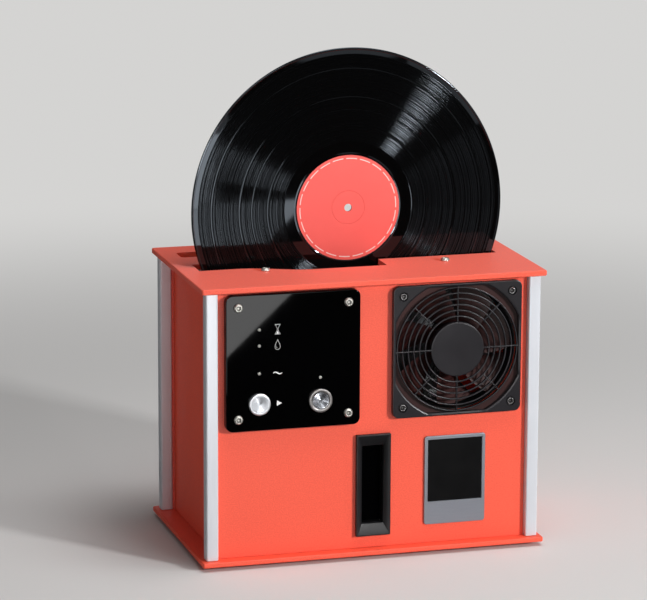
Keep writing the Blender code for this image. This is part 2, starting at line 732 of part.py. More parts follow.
def make_feet(bench, material):
    """Four low rubber feet under the base plate."""
    across = PLATE_WIDTH - 2 * FOOT_INSET
    along = BASE_DEPTH - 2 * FOOT_INSET
    top = FOOT_HEIGHT - SEAT_GAP
    profile = [
        (0, top),
        (FOOT_RADIUS, top),
        (FOOT_RADIUS, FOOT_EDGE),
        (FOOT_RADIUS - FOOT_EDGE, 0),
        (0, 0),
    ]
    names = ("rear_left", "rear_right", "front_left", "front_right")
    for name, (x, y) in zip(names, four_corners(across, along)):
        turned(bench, "foot_" + name, profile, material, Matrix.Translation((x, y, 0)), SMALL_STEPS)


def make_front_panel(bench, material):
    """The front panel, cut for the fan, the level window, the buttons and the lights."""
    edge = POST_INNER_X - SEAT_GAP
    low = BASE_TOP + SEAT_GAP
    high = TOP_UNDER - SEAT_GAP
    item = bench.add(
        "front_panel", block_mesh((-edge, FRONT_FACE, low), (edge, FRONT_BACK, high)), material
    )
    depth = PANEL_THICKNESS + 2 * OVERRUN
    start = FRONT_BACK + OVERRUN
    fan = [(GUARD_X, start, GUARD_Z)]
    fan_hole = FAN_BORE_RADIUS + FAN_HOLE_CLEARANCE
    bench.combine(item, rods_mesh(fan, fan_hole, depth, FRONTWARD, WIDE_STEPS))
    half_width = BEZEL_WIDTH / 2 - BEZEL_RIM - BEZEL_SLEEVE_WALL + SEAT_GAP
    half_height = BEZEL_HEIGHT / 2 - BEZEL_RIM - BEZEL_SLEEVE_WALL + SEAT_GAP
    bench.combine(
        item,
        block_mesh(
            (-half_width, FRONT_FACE - OVERRUN, BEZEL_Z - half_height),
            (half_width, FRONT_BACK + OVERRUN, BEZEL_Z + half_height),
        ),
    )
    barrels = [(x, start, z) for x, z in (START_PLACE, POWER_PLACE)]
    bench.combine(item, rods_mesh(barrels, BARREL_HOLE, depth, FRONTWARD, ROUND_STEPS))
    screws = [(x, start, z) for x, z in FASCIA_SCREWS + FAN_SCREWS]
    bench.combine(item, rods_mesh(screws, SCREW_HOLE, depth, FRONTWARD, HOLE_STEPS))
    wires = [(x, start, z) for x, z in LIGHTS]
    bench.combine(item, rods_mesh(wires, LIGHT_RADIUS, depth, FRONTWARD, HOLE_STEPS))
    studs = [(x, FRONT_BACK - PANEL_THICKNESS / 2, z) for x, z in board_places()]
    reach = BOARD_STANDOFF + PANEL_THICKNESS / 2
    bench.combine(
        item,
        rods_mesh(studs, BOARD_STANDOFF_RADIUS, reach, REARWARD, HOLE_STEPS),
        "UNION",
    )


def make_rear_panel(bench, material):
    """The rear panel, with openings for the power inlet and the drain."""
    edge = POST_INNER_X - SEAT_GAP
    low = BASE_TOP + SEAT_GAP
    high = TOP_UNDER - SEAT_GAP
    item = bench.add(
        "rear_panel", block_mesh((-edge, -FRONT_BACK, low), (edge, -FRONT_FACE, high)), material
    )
    depth = PANEL_THICKNESS + 2 * OVERRUN
    start = -FRONT_BACK - OVERRUN
    drain = [(SPIGOT_X, start, SPIGOT_Z)]
    bench.combine(item, rods_mesh(drain, SPIGOT_RADIUS + SEAT_GAP, depth, REARWARD, ROUND_STEPS))
    half_x = INLET_BODY_WIDTH / 2 + SEAT_GAP
    half_z = INLET_BODY_HEIGHT / 2 + SEAT_GAP
    bench.combine(
        item,
        block_mesh(
            (INLET_X - half_x, start, INLET_Z - half_z),
            (INLET_X + half_x, start + depth, INLET_Z + half_z),
        ),
    )


def make_side_panels(bench, material):
    """The two side panels, set in behind the posts."""
    reach = -FRONT_BACK - SEAT_GAP
    low = BASE_TOP + SEAT_GAP
    high = TOP_UNDER - SEAT_GAP
    left = block_mesh((-SIDE_OUTER_X, -reach, low), (-SIDE_INNER_X, reach, high))
    right = block_mesh((SIDE_INNER_X, -reach, low), (SIDE_OUTER_X, reach, high))
    bench.add("left_panel", left, material)
    bench.add("right_panel", right, material)


def make_control_panel(bench, material):
    """The glossy black fascia: a shallow tray with a rounded outline, drilled for what it carries."""
    half = FASCIA_SIZE / 2
    outline = rounded_outline(
        FASCIA_X - half, FASCIA_X + half, FASCIA_Z - half, FASCIA_Z + half, FASCIA_CORNER
    )
    item = bench.add(
        "control_panel", upright_sheet(outline, FASCIA_FRONT_Y, FASCIA_BACK_Y), material
    )
    bevel(item, FASCIA_EDGE)
    pocket = FASCIA_POCKET / 2
    bench.combine(
        item,
        block_mesh(
            (FASCIA_X - pocket, FASCIA_FRONT_Y + FASCIA_FACE, FASCIA_Z - pocket),
            (FASCIA_X + pocket, FASCIA_BACK_Y + OVERRUN, FASCIA_Z + pocket),
        ),
    )
    start = FASCIA_BACK_Y + OVERRUN
    depth = FASCIA_PROUD + 2 * OVERRUN
    barrels = [(x, start, z) for x, z in (START_PLACE, POWER_PLACE)]
    bench.combine(item, rods_mesh(barrels, BARREL_HOLE, depth, FRONTWARD, ROUND_STEPS))
    screws = [(x, start, z) for x, z in FASCIA_SCREWS]
    bench.combine(item, rods_mesh(screws, SCREW_HOLE, depth, FRONTWARD, HOLE_STEPS))
    lights = [(x, start, z) for x, z in LIGHTS]
    bench.combine(
        item, rods_mesh(lights, LIGHT_RADIUS + SEAT_GAP, depth, FRONTWARD, HOLE_STEPS)
    )


def make_light_guide(bench, material):
    """A clear bar behind the fascia whose four pegs fill the light holes."""
    columns = [x for x, z in LIGHTS]
    rows = [z for x, z in LIGHTS]
    back = FASCIA_FRONT_Y + FASCIA_FACE + SEAT_GAP
    item = bench.add(
        "light_guide",
        block_mesh(
            (min(columns) - LIGHT_BAR_MARGIN, back, min(rows) - LIGHT_BAR_MARGIN),
            (max(columns) + LIGHT_BAR_MARGIN, back + LIGHT_BAR_THICKNESS, max(rows) + LIGHT_BAR_MARGIN),
        ),
        material,
    )
    pegs = [(x, back + LIGHT_BAR_THICKNESS / 2, z) for x, z in LIGHTS]
    reach = FASCIA_FACE + SEAT_GAP + LIGHT_BAR_THICKNESS / 2
    bench.combine(
        item, rods_mesh(pegs, LIGHT_RADIUS, reach, FRONTWARD, HOLE_STEPS), "UNION"
    )


def screw_mesh(bench, head_radius, length, material):
    """A button-head screw standing on z = 0, its shank below."""
    profile = [
        (0, SCREW_HEAD_HEIGHT),
        (SCREW_CROWN_SHARE * head_radius, SCREW_HEAD_HEIGHT),
        (head_radius, SCREW_RIM_SHARE * SCREW_HEAD_HEIGHT),
        (head_radius, 0),
        (SCREW_SHANK_RADIUS, 0),
        (SCREW_SHANK_RADIUS, -length),
        (0, -length),
    ]
    item = turned(bench, "screw", profile, material, UPWARD, SCREW_STEPS)
    socket = [(0, 0, SCREW_HEAD_HEIGHT - SCREW_SOCKET_DEPTH)]
    bench.combine(item, rods_mesh(socket, SCREW_SOCKET_RADIUS, SCREW_HEAD_HEIGHT, UPWARD, HEXAGON))
    mesh = settled(item)
    shade_round(mesh)
    return mesh


def make_screws(bench, material):
    """Four fascia screws, four sunk guard screws and two screws in the top plate."""
    panel_screw = screw_mesh(bench, SCREW_HEAD_RADIUS, PANEL_SCREW_LENGTH, material)
    guard_screw = screw_mesh(bench, GUARD_SCREW_HEAD_RADIUS, PANEL_SCREW_LENGTH, material)
    top_screw = screw_mesh(bench, SCREW_HEAD_RADIUS, TOP_SCREW_LENGTH, material)
    names = ("top_left", "top_right", "bottom_left", "bottom_right")
    sunk = GUARD_FRONT_Y + GUARD_SCREW_SINK
    seats = (
        ("panel_screw_", panel_screw, FASCIA_SCREWS, FASCIA_FRONT_Y),
        ("guard_screw_", guard_screw, FAN_SCREWS, sunk),
    )
    for prefix, mesh, places, y in seats:
        for name, (x, z) in zip(names, places):
            place = Matrix.Translation((x, y - SEAT_GAP, z)) @ FRONTWARD
            bench.add(prefix + name, mesh, None, place)
    for name, side in (("left", -1), ("right", 1)):
        place = (side * TOP_SCREW_SPREAD, TOP_SCREW_Y, TOP_FACE + SEAT_GAP)
        bench.add("top_screw_" + name, top_screw, None, Matrix.Translation(place))


def make_button(bench, name, place, flange_radius, flange_height, ring_material, cap_material):
    """A push-button: a flanged barrel with its nut, and a sprung cap that slides in it."""
    bore = BUTTON_CAP_RADIUS + BUTTON_CAP_GAP
    stem_bore = BUTTON_STEM_RADIUS + BUTTON_CAP_GAP
    cap_floor = flange_height - BUTTON_CAP_LENGTH - BUTTON_TRAVEL - 2 * BUTTON_CAP_GAP
    stem_floor = cap_floor - BUTTON_STEM_LENGTH
    panel_back = -(FASCIA_PROUD + PANEL_THICKNESS) - 2 * SEAT_GAP
    nut_back = panel_back - BUTTON_NUT_THICKNESS
    profile = [
        (0, stem_floor),
        (stem_bore, stem_floor),
        (stem_bore, cap_floor),
        (bore, cap_floor),
        (bore, flange_height),
        (flange_radius - BUTTON_CHAMFER, flange_height),
        (flange_radius, flange_height - BUTTON_CHAMFER),
        (flange_radius, 0),
        (BUTTON_BARREL_RADIUS, 0),
        (BUTTON_BARREL_RADIUS, panel_back),
        (BUTTON_NUT_RADIUS, panel_back),
        (BUTTON_NUT_RADIUS, nut_back),
        (BUTTON_BARREL_RADIUS, nut_back),
        (BUTTON_BARREL_RADIUS, -BUTTON_BARREL_LENGTH),
        (0, -BUTTON_BARREL_LENGTH),
    ]
    x, z = place
    seat = Matrix.Translation((x, FASCIA_FRONT_Y - SEAT_GAP, z)) @ FRONTWARD
    turned(bench, name + "_housing", profile, ring_material, seat, ROUND_STEPS)
    top = flange_height - BUTTON_CAP_GAP
    cap_profile = [
        (0, top - BUTTON_CAP_DISH),
        (BUTTON_CAP_RADIUS / 2, top - BUTTON_CAP_DISH * BUTTON_DISH_SHARE),
        (BUTTON_CAP_RADIUS - BUTTON_CHAMFER, top),
        (BUTTON_CAP_RADIUS, top - BUTTON_CHAMFER / 2),
        (BUTTON_CAP_RADIUS, top - BUTTON_CAP_LENGTH),
        (BUTTON_STEM_RADIUS, top - BUTTON_CAP_LENGTH),
        (BUTTON_STEM_RADIUS, top - BUTTON_CAP_LENGTH - BUTTON_STEM_LENGTH + BUTTON_CAP_GAP),
        (0, top - BUTTON_CAP_LENGTH - BUTTON_STEM_LENGTH + BUTTON_CAP_GAP),
    ]
    turned(bench, name, cap_profile, cap_material, seat, ROUND_STEPS)


def make_circuit_board(bench, material):
    """The control board on its standoffs, with its larger components."""
    front = FRONT_BACK + BOARD_STANDOFF + SEAT_GAP
    back = front + BOARD_THICKNESS
    middle_z = FASCIA_Z + BOARD_LIFT
    half_x = BOARD_WIDTH / 2
    half_z = BOARD_HEIGHT / 2
    item = bench.add(
        "circuit_board",
        block_mesh(
            (FASCIA_X - half_x, front, middle_z - half_z), (FASCIA_X + half_x, back, middle_z + half_z)
        ),
        material,
    )
    sink = back - BOARD_THICKNESS / 2
    chips = []
    for side in (-1, 1):
        chip_x = FASCIA_X + side * CHIP_SIZE
        chips.append(
            (
                (chip_x - CHIP_SIZE / 2, sink, middle_z - CHIP_SIZE / 2),
                (chip_x + CHIP_SIZE / 2, back + CHIP_HEIGHT, middle_z + CHIP_SIZE / 2),
            )
        )
        plug_z = middle_z + half_z - CONNECTOR_WIDTH
        plug_x = FASCIA_X + side * (CONNECTOR_LENGTH + CONNECTOR_WIDTH) / 2
        chips.append(
            (
                (plug_x - CONNECTOR_LENGTH / 2, sink, plug_z - CONNECTOR_WIDTH / 2),
                (plug_x + CONNECTOR_LENGTH / 2, back + CONNECTOR_HEIGHT, plug_z + CONNECTOR_WIDTH / 2),
            )
        )
        relay_z = middle_z - half_z + RELAY_SIZE
        relay_x = FASCIA_X + side * RELAY_SIZE
        chips.append(
            (
                (relay_x - RELAY_SIZE / 2, sink, relay_z - RELAY_SIZE / 2),
                (relay_x + RELAY_SIZE / 2, back + RELAY_HEIGHT, relay_z + RELAY_SIZE / 2),
            )
        )
    bench.combine(item, blocks_mesh(chips), "UNION")


def guard_opening_outline():
    """The guard's opening: a circle cut off by a flat on each side."""
    corner = math.acos(GUARD_FLAT / GUARD_OPENING_RADIUS)
    points = []
    arcs = CORNER_STEPS * 2
    for quarter in range(4):
        start = quarter * math.pi / 2 + corner
        sweep = math.pi / 2 - 2 * corner
        for step in range(arcs + 1):
            angle = start + sweep * step / arcs
            points.append(
                (
                    GUARD_X + GUARD_OPENING_RADIUS * math.cos(angle),
                    GUARD_Z + GUARD_OPENING_RADIUS * math.sin(angle),
                )
            )
    return points


def spoke_mesh(angle, inner, outer, front, back):
    """One bar of the guard, along a radius."""
    mesh = block_mesh(
        (inner, front, -GUARD_SPOKE_WIDTH / 2), (outer, back, GUARD_SPOKE_WIDTH / 2)
    )
    mesh.transform(Matrix.Translation((GUARD_X, 0, GUARD_Z)) @ Matrix.Rotation(angle, 4, "Y"))
    return mesh


def joined(meshes):
    """Several meshes that stand clear of each other, as one."""
    shape = bmesh.new()
    for mesh in meshes:
        shape.from_mesh(mesh)
        bpy.data.meshes.remove(mesh)
    return to_mesh(shape, "joined")


def make_fan_guard(bench, material):
    """The moulded finger guard: frame, hub disc, six rings and eight spokes in one piece."""
    half = GUARD_SIZE / 2
    outline = rounded_outline(
        GUARD_X - half, GUARD_X + half, GUARD_Z - half, GUARD_Z + half, GUARD_CORNER
    )
    item = bench.add("fan_guard", upright_sheet(outline, GUARD_FRONT_Y, GUARD_BACK_Y), material)
    bevel(item, GUARD_EDGE)
    opening = upright_sheet(
        guard_opening_outline(), GUARD_FRONT_Y - OVERRUN, GUARD_BACK_Y + OVERRUN
    )
    bench.combine(item, opening)
    front = GUARD_FRONT_Y + GUARD_RING_RECESS
    back = front + GUARD_RING_DEPTH
    seat = Matrix.Translation((GUARD_X, back, GUARD_Z)) @ FRONTWARD
    rings = []
    for index in range(GUARD_RING_COUNT):
        middle = GUARD_RING_FIRST + index * GUARD_RING_PITCH
        inner = middle - GUARD_RING_WIDTH / 2
        outer = middle + GUARD_RING_WIDTH / 2
        profile = [
            (inner, GUARD_RING_DEPTH),
            (outer, GUARD_RING_DEPTH),
            (outer, 0),
            (inner, 0),
        ]
        rings.append(turned_mesh(bench, profile, seat, RING_STEPS, True))
    spokes = []
    rim = GUARD_SIZE / 2 - GUARD_RIM / 2
    first = GUARD_RING_FIRST + GUARD_DIAGONAL_FIRST_RING * GUARD_RING_PITCH
    for quarter in range(4):
        angle = quarter * math.pi / 2
        inner = GUARD_HUB_RADIUS * GUARD_SPOKE_INNER_SHARE
        spoke_front = front - GUARD_RING_RECESS / 2
        spoke_back = back - GUARD_RING_RECESS / 2
        spokes.append(spoke_mesh(angle, inner, rim, spoke_front, spoke_back))
        spokes.append(
            spoke_mesh(angle + math.pi / 4, first, GUARD_RING_LAST, spoke_front, spoke_back)
        )
    cage = bench.add("cage", joined(rings), material)
    bench.combine(cage, joined(spokes), "UNION")
    hub_profile = [
        (0, GUARD_RING_DEPTH + GUARD_RING_RECESS),
        (GUARD_HUB_RADIUS - GUARD_HUB_EDGE, GUARD_RING_DEPTH + GUARD_RING_RECESS),
        (GUARD_HUB_RADIUS, GUARD_RING_DEPTH),
        (GUARD_HUB_RADIUS, 0),
        (0, 0),
    ]
    bench.combine(cage, turned_mesh(bench, hub_profile, seat, RING_STEPS), "UNION")
    bench.combine(item, settled(cage), "UNION")
    start = GUARD_BACK_Y + OVERRUN
    depth = GUARD_THICKNESS + 2 * OVERRUN
    screws = [(x, start, z) for x, z in FAN_SCREWS]
    bench.combine(item, rods_mesh(screws, SCREW_HOLE, depth, FRONTWARD, HOLE_STEPS))
    sinks = [(x, GUARD_FRONT_Y + GUARD_SCREW_SINK, z) for x, z in FAN_SCREWS]
    bench.combine(
        item,
        rods_mesh(
            sinks, GUARD_SCREW_HEAD_RADIUS + SEAT_GAP, GUARD_SCREW_SINK + OVERRUN, FRONTWARD, SHAFT_STEPS
        ),
    )


def make_fan_frame(bench, material):
    """The fan's square housing with its bore, its rear struts and the motor mount."""
    half = FAN_SIZE / 2
    back = FAN_FRONT_Y + FAN_DEPTH
    outline = rounded_outline(
        GUARD_X - half, GUARD_X + half, GUARD_Z - half, GUARD_Z + half, FAN_CORNER, FEW_CORNER_STEPS
    )
    item = bench.add("fan_frame", upright_sheet(outline, FAN_FRONT_Y, back), material)
    start = back + OVERRUN
    depth = FAN_DEPTH + 2 * OVERRUN
    bench.combine(
        item, rods_mesh([(GUARD_X, start, GUARD_Z)], FAN_BORE_RADIUS, depth, FRONTWARD, WIDE_STEPS)
    )
    screws = [(x, start, z) for x, z in FAN_SCREWS]
    bench.combine(item, rods_mesh(screws, SCREW_HOLE, depth, FRONTWARD, HOLE_STEPS))
    mount_front = back - FAN_MOUNT_THICKNESS
    struts = []
    for quarter in range(4):
        mesh = block_mesh(
            (FAN_MOUNT_RADIUS - FAN_STRUT_WIDTH / 2, mount_front + FAN_STRUT_STEP, -FAN_STRUT_WIDTH / 2),
            (FAN_BORE_RADIUS + FAN_STRUT_WIDTH / 4, back - FAN_STRUT_STEP, FAN_STRUT_WIDTH / 2),
        )
        turn = Matrix.Rotation(quarter * math.pi / 2 + math.pi / 8, 4, "Y")
        mesh.transform(Matrix.Translation((GUARD_X, 0, GUARD_Z)) @ turn)
        struts.append(mesh)
    bore = FAN_SHAFT_RADIUS + RUNNING_CLEARANCE
    profile = [
        (bore, FAN_MOUNT_THICKNESS),
        (FAN_MOUNT_RADIUS, FAN_MOUNT_THICKNESS),
        (FAN_MOUNT_RADIUS, 0),
        (bore, 0),
    ]
    seat = Matrix.Translation((GUARD_X, back, GUARD_Z)) @ FRONTWARD
    mount = bench.add("mount", turned_mesh(bench, profile, seat, ROUND_STEPS, True), material)
    bench.combine(mount, joined(struts), "UNION")
    bench.combine(item, settled(mount), "UNION")


def blade_mesh(turn):
    """One fan blade: a twisted sheet from the hub to the tip, given its thickness."""
    front = -BLADE_LENGTH / 2
    shape = bmesh.new()
    rows = []
    root = ROTOR_HUB_RADIUS * BLADE_ROOT_SHARE
    for station in range(BLADE_STATIONS + 1):
        share = station / BLADE_STATIONS
        radius = root + (ROTOR_TIP_RADIUS - root) * share
        row = []
        for step in range(BLADE_STEPS + 1):
            along = step / BLADE_STEPS
            sweep = math.tau * (BLADE_SWEEP_TURNS * (along - 0.5) + BLADE_SKEW_TURNS * share)
            y = front + BLADE_LENGTH * along
            row.append(
                shape.verts.new((radius * math.cos(sweep + turn), y, radius * math.sin(sweep + turn)))
            )
        rows.append(row)
    for first, second in zip(rows, rows[1:]):
        for step in range(BLADE_STEPS):
            shape.faces.new((first[step], first[step + 1], second[step + 1], second[step]))
    return to_mesh(shape, "blade")


def make_fan_rotor(bench, material):
    """The fan's rotor: a cup-shaped hub with seven swept blades and its shaft."""
    front = FAN_FRONT_Y + ROTOR_FRONT_GAP
    rear = front + ROTOR_HUB_LENGTH
    mount = FAN_FRONT_Y + FAN_DEPTH - FAN_MOUNT_THICKNESS
    seat = Matrix.Translation((GUARD_X, front, GUARD_Z)) @ FRONTWARD
    shaft_end = -(mount - front) - FAN_SHAFT_LENGTH
    profile = [
        (0, 0),
        (ROTOR_HUB_RADIUS - ROTOR_HUB_EDGE, 0),
        (ROTOR_HUB_RADIUS, -ROTOR_HUB_EDGE),
        (ROTOR_HUB_RADIUS, -ROTOR_HUB_LENGTH),
        (FAN_SHAFT_RADIUS, -ROTOR_HUB_LENGTH),
        (FAN_SHAFT_RADIUS, shaft_end),
        (0, shaft_end),
    ]
    item = turned(bench, "fan_rotor", profile, material, seat, ROUND_STEPS)
    blades = []
    middle = (front + rear) / 2
    for index in range(BLADE_COUNT):
        sheet = bench.add("blade", blade_mesh(math.tau * index / BLADE_COUNT))
        wall = sheet.modifiers.new("thickness", "SOLIDIFY")
        wall.thickness = BLADE_THICKNESS
        wall.offset = 0
        blades.append(settled(sheet, Matrix.Translation((GUARD_X, middle, GUARD_Z))))
    mesh = joined(blades)
    shape = bmesh.new()
    shape.from_mesh(mesh)
    bmesh.ops.recalc_face_normals(shape, faces=shape.faces)
    shape.to_mesh(mesh)
    shape.free()
    bench.combine(item, mesh, "UNION")


def funnel_mesh(sections, centre_z):
    """A straight-sided funnel along Y: each section is its depth, half width and half height."""
    shape = bmesh.new()
    rings = []
    for y, half_x, half_z in sections:
        corners = ((-half_x, -half_z), (half_x, -half_z), (half_x, half_z), (-half_x, half_z))
        rings.append([shape.verts.new((x, y, centre_z + z)) for x, z in corners])
    shape.faces.new(rings[0])
    shape.faces.new(rings[-1])
    for first, second in zip(rings, rings[1:]):
        for index in range(4):
            after = (index + 1) % 4
            shape.faces.new((first[index], first[after], second[after], second[index]))
    bmesh.ops.recalc_face_normals(shape, faces=shape.faces)
    return to_mesh(shape, "funnel")


def make_window_bezel(bench, material):
    """The window's frame: a rim with sloping inner sides and a sleeve through the panel."""
    half_x = BEZEL_WIDTH / 2
    half_z = BEZEL_HEIGHT / 2
    front = FRONT_FACE - BEZEL_PROUD
    back = FRONT_BACK + BEZEL_BACK
    item = bench.add(
        "window_bezel",
        block_mesh((-half_x, front, BEZEL_Z - half_z), (half_x, FRONT_FACE - SEAT_GAP, BEZEL_Z + half_z)),
        material,
    )
    sleeve_x = half_x - BEZEL_RIM - BEZEL_SLEEVE_WALL
    sleeve_z = half_z - BEZEL_RIM - BEZEL_SLEEVE_WALL
    bench.combine(
        item,
        block_mesh(
            (-sleeve_x, front + BEZEL_PROUD / 2, BEZEL_Z - sleeve_z),
            (sleeve_x, back, BEZEL_Z + sleeve_z),
        ),
        "UNION",
    )
    mouth = (half_x - BEZEL_RIM, half_z - BEZEL_RIM)
    throat = (mouth[0] - BEZEL_BEVEL_SIDE, mouth[1] - BEZEL_BEVEL_END)
    beyond = OVERRUN / (FRONT_BACK - front)
    wide_x = mouth[0] + beyond * BEZEL_BEVEL_SIDE
    wide_z = mouth[1] + beyond * BEZEL_BEVEL_END
    sections = ((front - OVERRUN, wide_x, wide_z), (FRONT_BACK, *throat), (back + OVERRUN, *throat))
    bench.combine(item, funnel_mesh(sections, BEZEL_Z))


def make_level_window(bench, material):
    """The clear pane behind the bezel through which the water level shows."""
    half_x = BEZEL_WIDTH / 2 - BEZEL_RIM - BEZEL_SLEEVE_WALL
    half_z = BEZEL_HEIGHT / 2 - BEZEL_RIM - BEZEL_SLEEVE_WALL
    front = FRONT_BACK + BEZEL_BACK + SEAT_GAP
    bench.add(
        "level_window",
        block_mesh(
            (-half_x, front, BEZEL_Z - half_z), (half_x, front + PANE_THICKNESS, BEZEL_Z + half_z)
        ),
        material,
    )


def make_badge_plate(bench, material):
    """The metal plate with a raised rim, a sunk field and a plain band at its foot."""
    half_x = BADGE_WIDTH / 2
    half_z = BADGE_HEIGHT / 2
    back = FRONT_FACE - SEAT_GAP
    front = back - BADGE_THICKNESS
    outline = rounded_outline(
        GUARD_X - half_x, GUARD_X + half_x, BADGE_Z - half_z, BADGE_Z + half_z, BADGE_CORNER
    )
    item = bench.add("badge_plate", upright_sheet(outline, front, back), material)
    bevel(item, BADGE_EDGE)
    bench.combine(
        item,
        block_mesh(
            (GUARD_X - half_x + BADGE_RIM, front - OVERRUN, BADGE_Z - half_z + BADGE_FOOT_BAND),
            (GUARD_X + half_x - BADGE_RIM, front + BADGE_FIELD_DEPTH, BADGE_Z + half_z - BADGE_RIM),
        ),
    )


def make_record(bench, vinyl, paper):
    """The record standing in the slot, with its label let into the front face."""
    seat = Matrix.Translation((0, RECORD_PLANE_Y, RECORD_Z)) @ FRONTWARD
    floor = RECORD_HALF - LABEL_RECESS
    profile = [
        (RECORD_HOLE_RADIUS, floor),
        (LABEL_RADIUS, floor),
        (LABEL_RADIUS, RECORD_HALF),
        (RECORD_RADIUS, RECORD_HALF),
        (RECORD_RADIUS, -RECORD_HALF),
        (RECORD_HOLE_RADIUS, -RECORD_HALF),
    ]
    turned(bench, "record", profile, vinyl, seat, RECORD_STEPS, True)
    low = floor + LABEL_SEAT_GAP
    high = low + LABEL_THICKNESS
    edge = LABEL_RADIUS - SEAT_GAP
    label = [
        (RECORD_HOLE_RADIUS, high),
        (edge, high),
        (edge, low),
        (RECORD_HOLE_RADIUS, low),
    ]
    turned(bench, "record_label", label, paper, seat, RING_STEPS, True)


def bath_outline(grow):
    """The bath seen from above: a long trough whose front follows the flare of the slot."""
    length = BATH_HALF_LENGTH + grow
    rear = BATH_REAR_Y + grow
    left_front = BATH_LEFT_FRONT_Y - grow
    right_front = BATH_RIGHT_FRONT_Y - grow
    well = BATH_WELL_FRONT_Y - grow
    right = BATH_WELL_RIGHT + grow
    points = [(-length, rear), (-length, left_front)]
    points += flare(left_front, well)
    points += [(right, well), (right, right_front), (length, right_front), (length, rear)]
    return points


def roller_places():
    """The four cleaning rollers, two before the record and two behind it."""
    return [
        ("front_left", -ROLLER_X, ROLLER_FRONT_Y),
        ("front_right", ROLLER_X, ROLLER_FRONT_Y),
        ("rear_left", -ROLLER_X, ROLLER_REAR_Y),
        ("rear_right", ROLLER_X, ROLLER_REAR_Y),
    ]


def make_bath(bench, material):
    """The cleaning bath that hangs under the top plate, with its flange, pillars and bearings."""
    flange_top = TOP_UNDER - SEAT_GAP
    low = flange_top - BATH_FLANGE
    wall_height = low + BATH_FLANGE / 2 - BATH_UNDER_Z
    outer = sheet_mesh(
        bath_outline(BATH_WALL), wall_height, Matrix.Translation((0, 0, BATH_UNDER_Z))
    )
    item = bench.add("cleaning_bath", outer, material)
    margin = BATH_WALL + BATH_FLANGE_MARGIN
    flange = block_mesh(
        (-BATH_HALF_LENGTH - margin, BATH_WELL_FRONT_Y - margin, low),
        (BATH_HALF_LENGTH + margin, BATH_REAR_Y + margin, flange_top),
    )
    bench.combine(item, flange, "UNION")
    bosses = [
        (-RIM_ROLLER_X, BATH_REAR_Y + BATH_WALL / 2, RIM_ROLLER_Z),
        (RIM_ROLLER_X, BATH_REAR_Y + BATH_WALL / 2, RIM_ROLLER_Z),
    ]
    bench.combine(
        item,
        rods_mesh(bosses[1:], BEARING_RADIUS, BEARING_LENGTH, REARWARD, SMALL_STEPS),
        "UNION",
    )
    pillars = []
    reach = BATH_UNDER_Z - GEARBOX_TOP_Z - SEAT_GAP + BATH_WALL / 2
    for x in (-BATH_PILLAR_X, BATH_PILLAR_X):
        for y in (BATH_PILLAR_FRONT_Y, BATH_PILLAR_REAR_Y):
            pillars.append((x, y, GEARBOX_TOP_Z + SEAT_GAP))
    bench.combine(item, rods_mesh(pillars, BATH_PILLAR_RADIUS, reach, UPWARD, HOLE_STEPS), "UNION")
    nipple = [(RISER_X, RECORD_PLANE_Y, BATH_UNDER_Z - NIPPLE_LENGTH)]
    bench.combine(
        item, rods_mesh(nipple, NIPPLE_RADIUS, NIPPLE_LENGTH + BATH_WALL / 2, UPWARD, HOLE_STEPS), "UNION"
    )
    cavity = sheet_mesh(
        bath_outline(0), flange_top - BATH_FLOOR_Z + OVERRUN, Matrix.Translation((0, 0, BATH_FLOOR_Z))
    )
    bench.combine(item, cavity)
    half_notch = BATH_NOTCH_WIDTH / 2
    reach = BATH_HALF_LENGTH + margin + OVERRUN
    notch = block_mesh(
        (-reach, RECORD_PLANE_Y - half_notch, flange_top - BATH_NOTCH_DEPTH),
        (reach, RECORD_PLANE_Y + half_notch, flange_top + OVERRUN),
    )
    bench.combine(item, notch)
    shafts = [(x, y, BATH_UNDER_Z - OVERRUN) for _, x, y in roller_places()]
    bench.combine(
        item,
        rods_mesh(shafts, SPINDLE_SHAFT_RADIUS + SEAT_GAP, BATH_WALL + 2 * OVERRUN, UPWARD, SMALL_STEPS),
    )
    start = BATH_REAR_Y - OVERRUN
    depth = BATH_WALL + BEARING_LENGTH + 2 * OVERRUN
    rim_shafts = [(x, start, z) for x, _, z in bosses]
    bench.combine(
        item, rods_mesh(rim_shafts, RIM_SHAFT_RADIUS + SEAT_GAP, depth, REARWARD, SMALL_STEPS)
    )
    inlet = [(RISER_X, RECORD_PLANE_Y, BATH_UNDER_Z - NIPPLE_LENGTH - OVERRUN)]
    bore = NIPPLE_RADIUS - NIPPLE_WALL
    bore_length = NIPPLE_LENGTH + BATH_WALL + 2 * OVERRUN
    bench.combine(item, rods_mesh(inlet, bore, bore_length, UPWARD, HOLE_STEPS))
    screws = [(side * TOP_SCREW_SPREAD, TOP_SCREW_Y, low - OVERRUN) for side in (-1, 1)]
    bench.combine(
        item, rods_mesh(screws, SCREW_HOLE, BATH_FLANGE + 2 * OVERRUN, UPWARD, HOLE_STEPS)
    )


def gear_outline(teeth, phase):
    """A gear's edge: each tooth rises on a straight flank from the root circle to the tip."""
    pitch = GEAR_MODULE * teeth / 2
    tip = pitch + GEAR_MODULE * GEAR_ADDENDUM_SHARE
    root = pitch - GEAR_MODULE * GEAR_DEDENDUM_SHARE
    step = math.tau / teeth
    flanks = (
        (root, -TOOTH_ROOT_SHARE),
        (tip, -TOOTH_TIP_SHARE),
        (tip, TOOTH_TIP_SHARE),
        (root, TOOTH_ROOT_SHARE),
    )
    points = []
    for tooth in range(teeth):
        middle = phase + tooth * step
        for radius, share in flanks:
            angle = middle + step * share / 2
            points.append((radius * math.cos(angle), radius * math.sin(angle)))
    return points


def meshed_phase(teeth, towards, other_teeth, other_phase):
    """How far a gear is turned so that its gaps take the teeth of the gear it meets.

    The other gear lies in the direction towards, as an angle about Z.
    """
    back = towards + math.pi
    return towards + math.pi / teeth - (other_phase - back) * other_teeth / teeth


